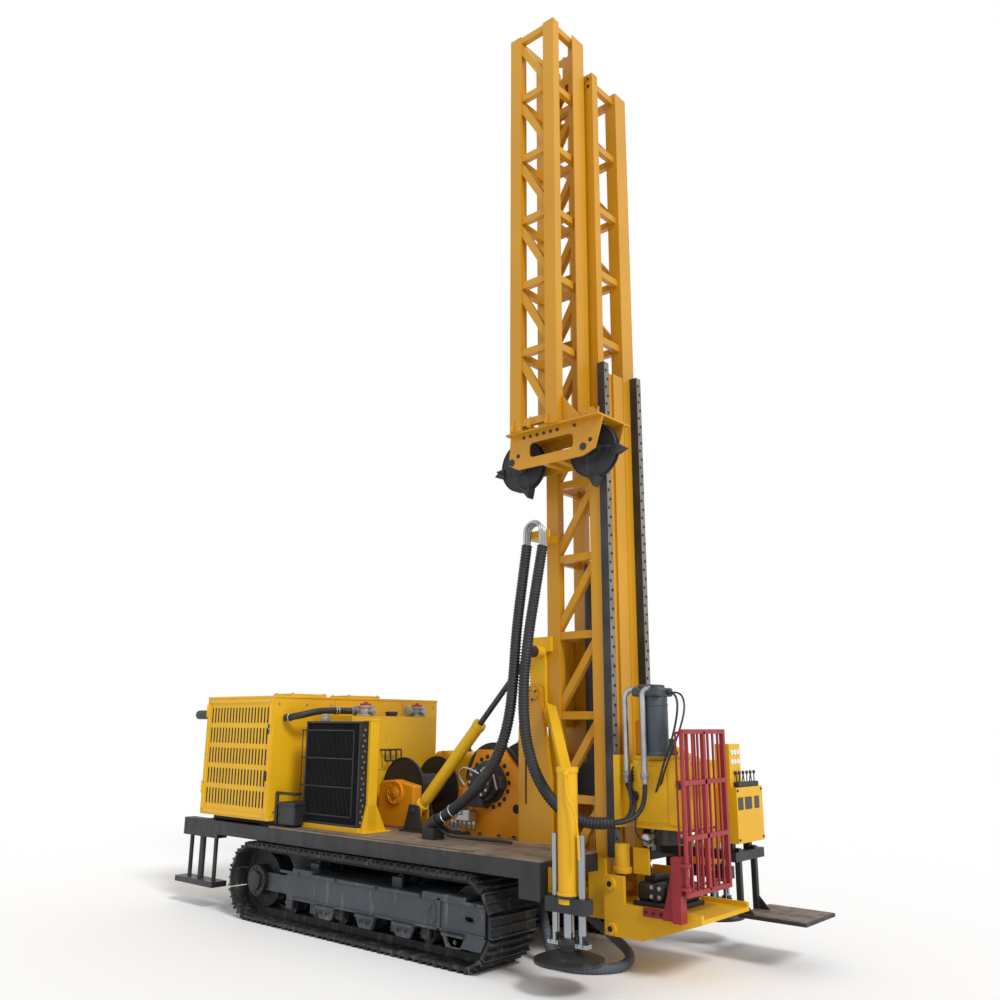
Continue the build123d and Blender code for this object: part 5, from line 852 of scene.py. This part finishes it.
# Head
head = [block("case", (1.95, -0.226, 0.985), (2.39, 0.2, 1.47), 0.022),
    block("panel", (2.0, -0.234, 1.03), (2.25, -0.224, 1.425), 0.005),
        block("door", (2.27, -0.236, 1.02), (2.375, -0.224, 1.44), 0.005),
            block("front", (2.386, -0.19, 1.03), (2.396, 0.165, 1.43), 0.005),
            block("sill", (1.96, -0.236, 0.985), (2.398, 0.2, 1.006), 0.004),
            block("rib", (1.945, -0.234, 1.35), (1.975, -0.224, 1.44), 0.004)]
dress(joined("headCaseTrim", head), "yellowEnamel", "head")
dress(block("headBlock", (1.95, -0.16, 1.5), (2.04, -0.07, 1.754), 0.01), "orangeEnamel", "head")
ports = [rod("port", (1.983, -0.225, 1.207), (1.983, -0.255, 1.207), 0.035, 24),
    rod("boss", (2.36, -0.225, 1.298), (2.36, -0.243, 1.298), 0.028, 20),
    rod("flange", (2.1, 0.02, 1.49), (2.1, 0.02, 1.53), 0.1, 40)]
dress(joined("headPorts", ports), "castIron", "head")
bolts("headBolts", [((x, -0.226, z), (0, -1, 0)) for x, z in ((1.97, 1.01), (2.06, 1.01), (2.17, 1.01),
    (2.28, 1.01), (2.365, 1.01), (2.365, 1.12), (2.365, 1.23), (2.365, 1.37), (2.27, 1.45), (2.16, 1.45),
    (2.05, 1.45), (1.97, 1.37), (1.97, 1.3), (1.97, 1.1))], 0.009, "head", "yellowEnamel")
bolts("headTopBolts", [((2.1 + 0.085 * math.cos(a * math.pi / 4), 0.02 + 0.085 * math.sin(a * math.pi / 4),
    1.53), (0, 0, 1)) for a in range(8)], 0.009, "head", "castIron")
feedMotor = {"x": 2.155, "y": -0.19, "radius": 0.093, "top": 1.931}
mx, my = feedMotor["x"], feedMotor["y"]
motorParts = [rod("body", (mx, my, 1.5), (mx, my, feedMotor["top"]), feedMotor["radius"], 44),
    rod("flange", (mx, my, 1.5), (mx, my, 1.53), 0.098, 44), block("cap", (2.018, -0.302, 1.93),
    (2.25, -0.078, 1.995), 0.014),
              block("capTop", (2.05, -0.27, 1.99), (2.2, -0.11, 2.019), 0.01),
                  rod("port", (2.25, -0.15, 1.962), (2.275, -0.15, 1.962), 0.025, 20),
                  rod("band", (mx, my, 1.86), (mx, my, 1.875), 0.096, 44)]
motorParts = dress(joined("feedMotor", motorParts), "motorIron", "head")
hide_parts("head_motor")
nuts = []
for x, y in ((1.92, -0.24), (2.117, -0.305)):
    nuts += [rod("nut", (x, y, 1.335), (x, y, 1.39), 0.029, 20),
        rod("collar", (x, y, 1.352), (x, y, 1.374), 0.037, 8), rod("nut", (x, y, 1.3), (x, y, 1.337), 0.025,
        20)]
dress(joined("pipeNuts", nuts), "castAluminium", "head")
thinHose("motorHoseA", [(2.275, -0.15, 1.962), (2.33, -0.16, 1.94), (2.35, -0.2, 1.8), (2.33, -0.27, 1.6),
    (2.28, -0.3, 1.46), (2.22, -0.27, 1.33), (2.16, -0.226, 1.24)], 0.016, "head")
thinHose("motorHoseB", [(2.26, -0.12, 1.96), (2.33, -0.1, 1.97), (2.38, -0.13, 1.85), (2.37, -0.23, 1.66),
    (2.33, -0.3, 1.5), (2.27, -0.28, 1.4), (2.2, -0.226, 1.29)], 0.014, "head")
for i in range(4):
    thinHose("headHose" + str(i), [(1.935 + 0.008 * i, -0.45, 1.03),
        (1.98 + 0.01 * i, -0.4, 1.03 + 0.01 * i), (2.0 + 0.012 * i, -0.34, 1.1),
        (1.99 - 0.01 * i, -0.3, 1.2 + 0.02 * i), (1.972, -0.26, 1.3 + 0.03 * i),
        (1.97, -0.226, 1.33 + 0.03 * i)], 0.012, "head")
thinHose("portHose", [(1.983, -0.226, 1.075), (1.985, -0.262, 1.0), (2.03, -0.265, 0.91),
    (2.1, -0.24, 0.89), (2.145, -0.205, 0.94), (2.15, -0.19, 1.045)], 0.014, "head")
print("head")

# Mast, rails and crown
railFaces = [block("railFace", (1.8045, y - 0.031, 0.765), (1.8062, y + 0.031, 4.715),
    0.0006) for y in railMiddles]
dress(joined("railFaces", railFaces), "wornRail", "lower_mast")
spots = [((1.8055, y + 0.012 * (-1) ** i, 0.82 + 0.075 * i), (1, 0, 0)) for i in range(52) for y in (-0.215,
    0.285)]
bolts("railBolts", spots, 0.009, "lower_mast", "castIron")
spots = [((x, -0.2322, z), (0, -1, 0)) for z in (0.52, 0.6, 7.5, 7.58) for x in (1.2, 1.32, 1.45, 1.58,
    1.69)]
bolts("mastEndBolts", spots, 0.012, "lower_mast", "castIron")
edges = []
for z in (0.5, 7.57):
    edges.append(block("edge", (1.16, -0.24, z), (1.74, -0.232, z + 0.03), 0.003))
dress(joined("mastEdges", edges), "amberEnamel", "lower_mast")
# folded panels that close the face between the rails
panels = [block("panel", (1.702, -0.15, 0.8), (1.712, 0.0, 4.7), 0.003),
    block("panel", (1.702, 0.0, 0.8), (1.731, 0.15, 4.7), 0.004)]
dress(joined("mastPanels", panels), "amberEnamel", "lower_mast")
bolts("flangeBolts", [((x, -0.644, 4.048), (0, -1, 0)) for x in (1.258, 1.328, 1.398, 1.468, 1.538, 1.608,
    1.781)], 0.015, "upper_mast", "castIron")
gussets = []
for x in (1.2, 1.38, 1.56):
    gussets.append(plate("gusset", [(sheaveY - 0.232, 4.088), (sheaveY - 0.275, 4.088),
        (sheaveY - 0.232, 4.2)], "x", x, 0.012))
    gussets.append(plate("gusset", [(sheaveY + 0.232, 4.088), (sheaveY + 0.275, 4.088),
        (sheaveY + 0.232, 4.2)], "x", x, 0.012))
gussets.append(plate("gusset", [(1.665, 4.33), (1.665, 4.09), (1.86, 4.09)], "y", -0.66, 0.012))
gussets.append(plate("lug", [(1.975, 4.09), (1.98, 4.14), (2.005, 4.165), (2.0, 4.09)], "y", -0.635, 0.014,
    0.002))
for x, z in ((1.84, 4.088), (1.93, 4.088)):
    gussets.append(plate("lug", [(x - 0.045, z), (x + 0.045, z), (x + 0.04, z + 0.06),
        (x + 0.018, z + 0.085), (x - 0.018, z + 0.085), (x - 0.04, z + 0.06)], "y", -0.64, 0.014, 0.003))
dress(joined("crownGussets", gussets), "amberEnamel", "upper_mast")
for x, body, tag in ((1.862, "sheave_front", "Front"), (1.125, "sheave_rear", "Rear")):
    hub = [rod("hub", (x, sheaveY - 0.045, sheaveZ), (x, sheaveY + 0.045, sheaveZ), 0.075, 36)] + [rod("boss",
        (x + 0.13 * math.cos(a * math.pi / 3), sheaveY - 0.03, sheaveZ + 0.13 * math.sin(a * math.pi / 3)),
        (x + 0.13 * math.cos(a * math.pi / 3), sheaveY + 0.03, sheaveZ + 0.13 * math.sin(a * math.pi / 3)),
        0.03, 20) for a in range(6)]
    hub += [ring("rim", (x, sheaveY + dy, sheaveZ), (0, 1, 0), 0.216, 0.008, 56) for dy in (-0.026, 0.026)]
    dress(joined("sheaveHub" + tag, hub), "blackEnamel", body)
    ends = [rod("axle", (x, sheaveY + side * 0.15, sheaveZ), (x, sheaveY + side * 0.162, sheaveZ), 0.03,
        24) for side in (-1, 1)]
    ends += [rod("keeper", (x + 0.07, sheaveY - 0.15, 3.9), (x + 0.07, sheaveY - 0.162, 3.9), 0.018, 16)]
    # prongs that keep the rope in the groove, on a thin hanger from the axle
    for angle in ((3.3, 4.95) if tag == "Rear" else (-0.1, 4.72)):
        out = Vector((math.cos(angle), 0, math.sin(angle)))
        across = Vector((-out.z, 0, out.x))
        centre = Vector((x, 0, sheaveZ))
        corners = [centre + out * 0.19 + across * 0.05, centre + out * 0.19 - across * 0.05,
            centre + out * 0.235 - across * 0.035, centre + out * 0.3,
            centre + out * 0.235 + across * 0.035]
        ends.append(plate("prong", [(corner.x, corner.z) for corner in corners], "y", -0.535, 0.082, 0.003))
        ends.append(rod("hanger", Vector((x, -0.6, sheaveZ)), Vector((x, -0.6, sheaveZ)) + out * 0.21, 0.006,
            10))
        ends.append(rod("hanger", Vector((x, -0.605, sheaveZ)) + out * 0.21,
            Vector((x, -0.53, sheaveZ)) + out * 0.21, 0.006, 10))
    dress(joined("axleEnds" + tag, ends), "castIron", "upper_mast")
print("mast")

# Console, step and deck
screens = [block("screen", (2.5, a, 1.1), (2.503, b, 1.19), 0.0008) for a,
    b in ((0.385, 0.467), (0.5, 0.611), (0.656, 0.735))]
dress(joined("consoleWindows", screens), "darkGlass", "chassis")
levers = [block("bank", (2.452, 0.42, 1.262), (2.495, 0.76, 1.3), 0.006)]
for i in range(8):
    y = 0.445 + 0.041 * i
    levers += [rod("lever", (2.47, y, 1.29), (2.462 + 0.01 * (i % 3), y, 1.36), 0.0045, 10, 0.001),
        rod("knob", (2.462 + 0.01 * (i % 3), y, 1.355), (2.462 + 0.01 * (i % 3), y, 1.38), 0.011, 14,
        0.004)]
dress(joined("levers", levers), "blackEnamel", "chassis")
dials = [rod("dial", (2.45, 0.415 + 0.05 * k, 1.52), (2.456, 0.415 + 0.05 * k, 1.52), 0.022, 20,
    0.001) for k in range(3)] + [rod("dial", (2.45, 0.415 + 0.05 * k, 1.45),
    (2.456, 0.415 + 0.05 * k, 1.45), 0.022, 20, 0.001) for k in range(3)]
dress(joined("consoleDials", dials), "dialWhite", "chassis")
bolts("consoleBolts", [((2.5, y, z), (1, 0, 0)) for y in (0.385, 0.78) for z in (0.885, 1.24)], 0.008,
    "chassis")
posts = [plate("gusset", [(2.44, 0.35), (2.53, 0.35), (2.44, 0.45)], "y", y, 0.014) for y in (0.498, 0.758)]
dress(joined("stepGussets", posts), "blackEnamel", "chassis")
dress(block("stepTread", (2.412, 0.49, 0.349), (2.92, 1.0, 0.3535), 0.0015), "wornDeck", "chassis")
strips = copies(block("strip", (-1.35, -1.046, 0.813), (1.1, -1.038, 0.8165), 0.001), [(0, 2.084, 0)])
dress(joined("deckStrips", strips), "blackEnamel", "chassis")
clamps = [ring("band", (0.47, -0.701, 0.99), (0.85, 0, 0.5), 0.05, 0.006, 28),
    ring("band", (0.55, -0.698, 1.042), (0.85, 0, 0.5), 0.05, 0.006, 28)]
dress(joined("bundleBands", clamps), "zincTube", "chassis")
tangle = [[(0.4, -0.7, 0.96), (0.33, -0.66, 0.93), (0.25, -0.55, 0.88), (0.24, -0.42, 0.85),
    (0.24, -0.37, 0.836)], [(0.4, -0.69, 0.95), (0.35, -0.6, 0.87), (0.32, -0.5, 0.85), (0.32, -0.4, 0.85),
    (0.32, -0.36, 0.836)],
          [(0.4, -0.7, 0.94), (0.44, -0.6, 0.86), (0.46, -0.5, 0.85), (0.45, -0.4, 0.85),
              (0.42, -0.36, 0.836)], [(0.38, -0.72, 0.93), (0.45, -0.68, 0.85), (0.6, -0.62, 0.835),
              (0.85, -0.58, 0.835), (1.02, -0.6, 0.84), (1.09, -0.6, 0.836)],
          [(-0.1, -0.36, 1.08), (-0.16, -0.33, 1.1), (-0.21, -0.32, 0.98), (-0.12, -0.42, 0.85),
              (0.1, -0.55, 0.84), (0.3, -0.66, 0.87), (0.39, -0.7, 0.955)]]
for i, line in enumerate(tangle):
    thinHose("deckHose" + str(i), line, 0.024, "chassis")
print("console and deck")

bpy.data.objects.remove(boltModel)
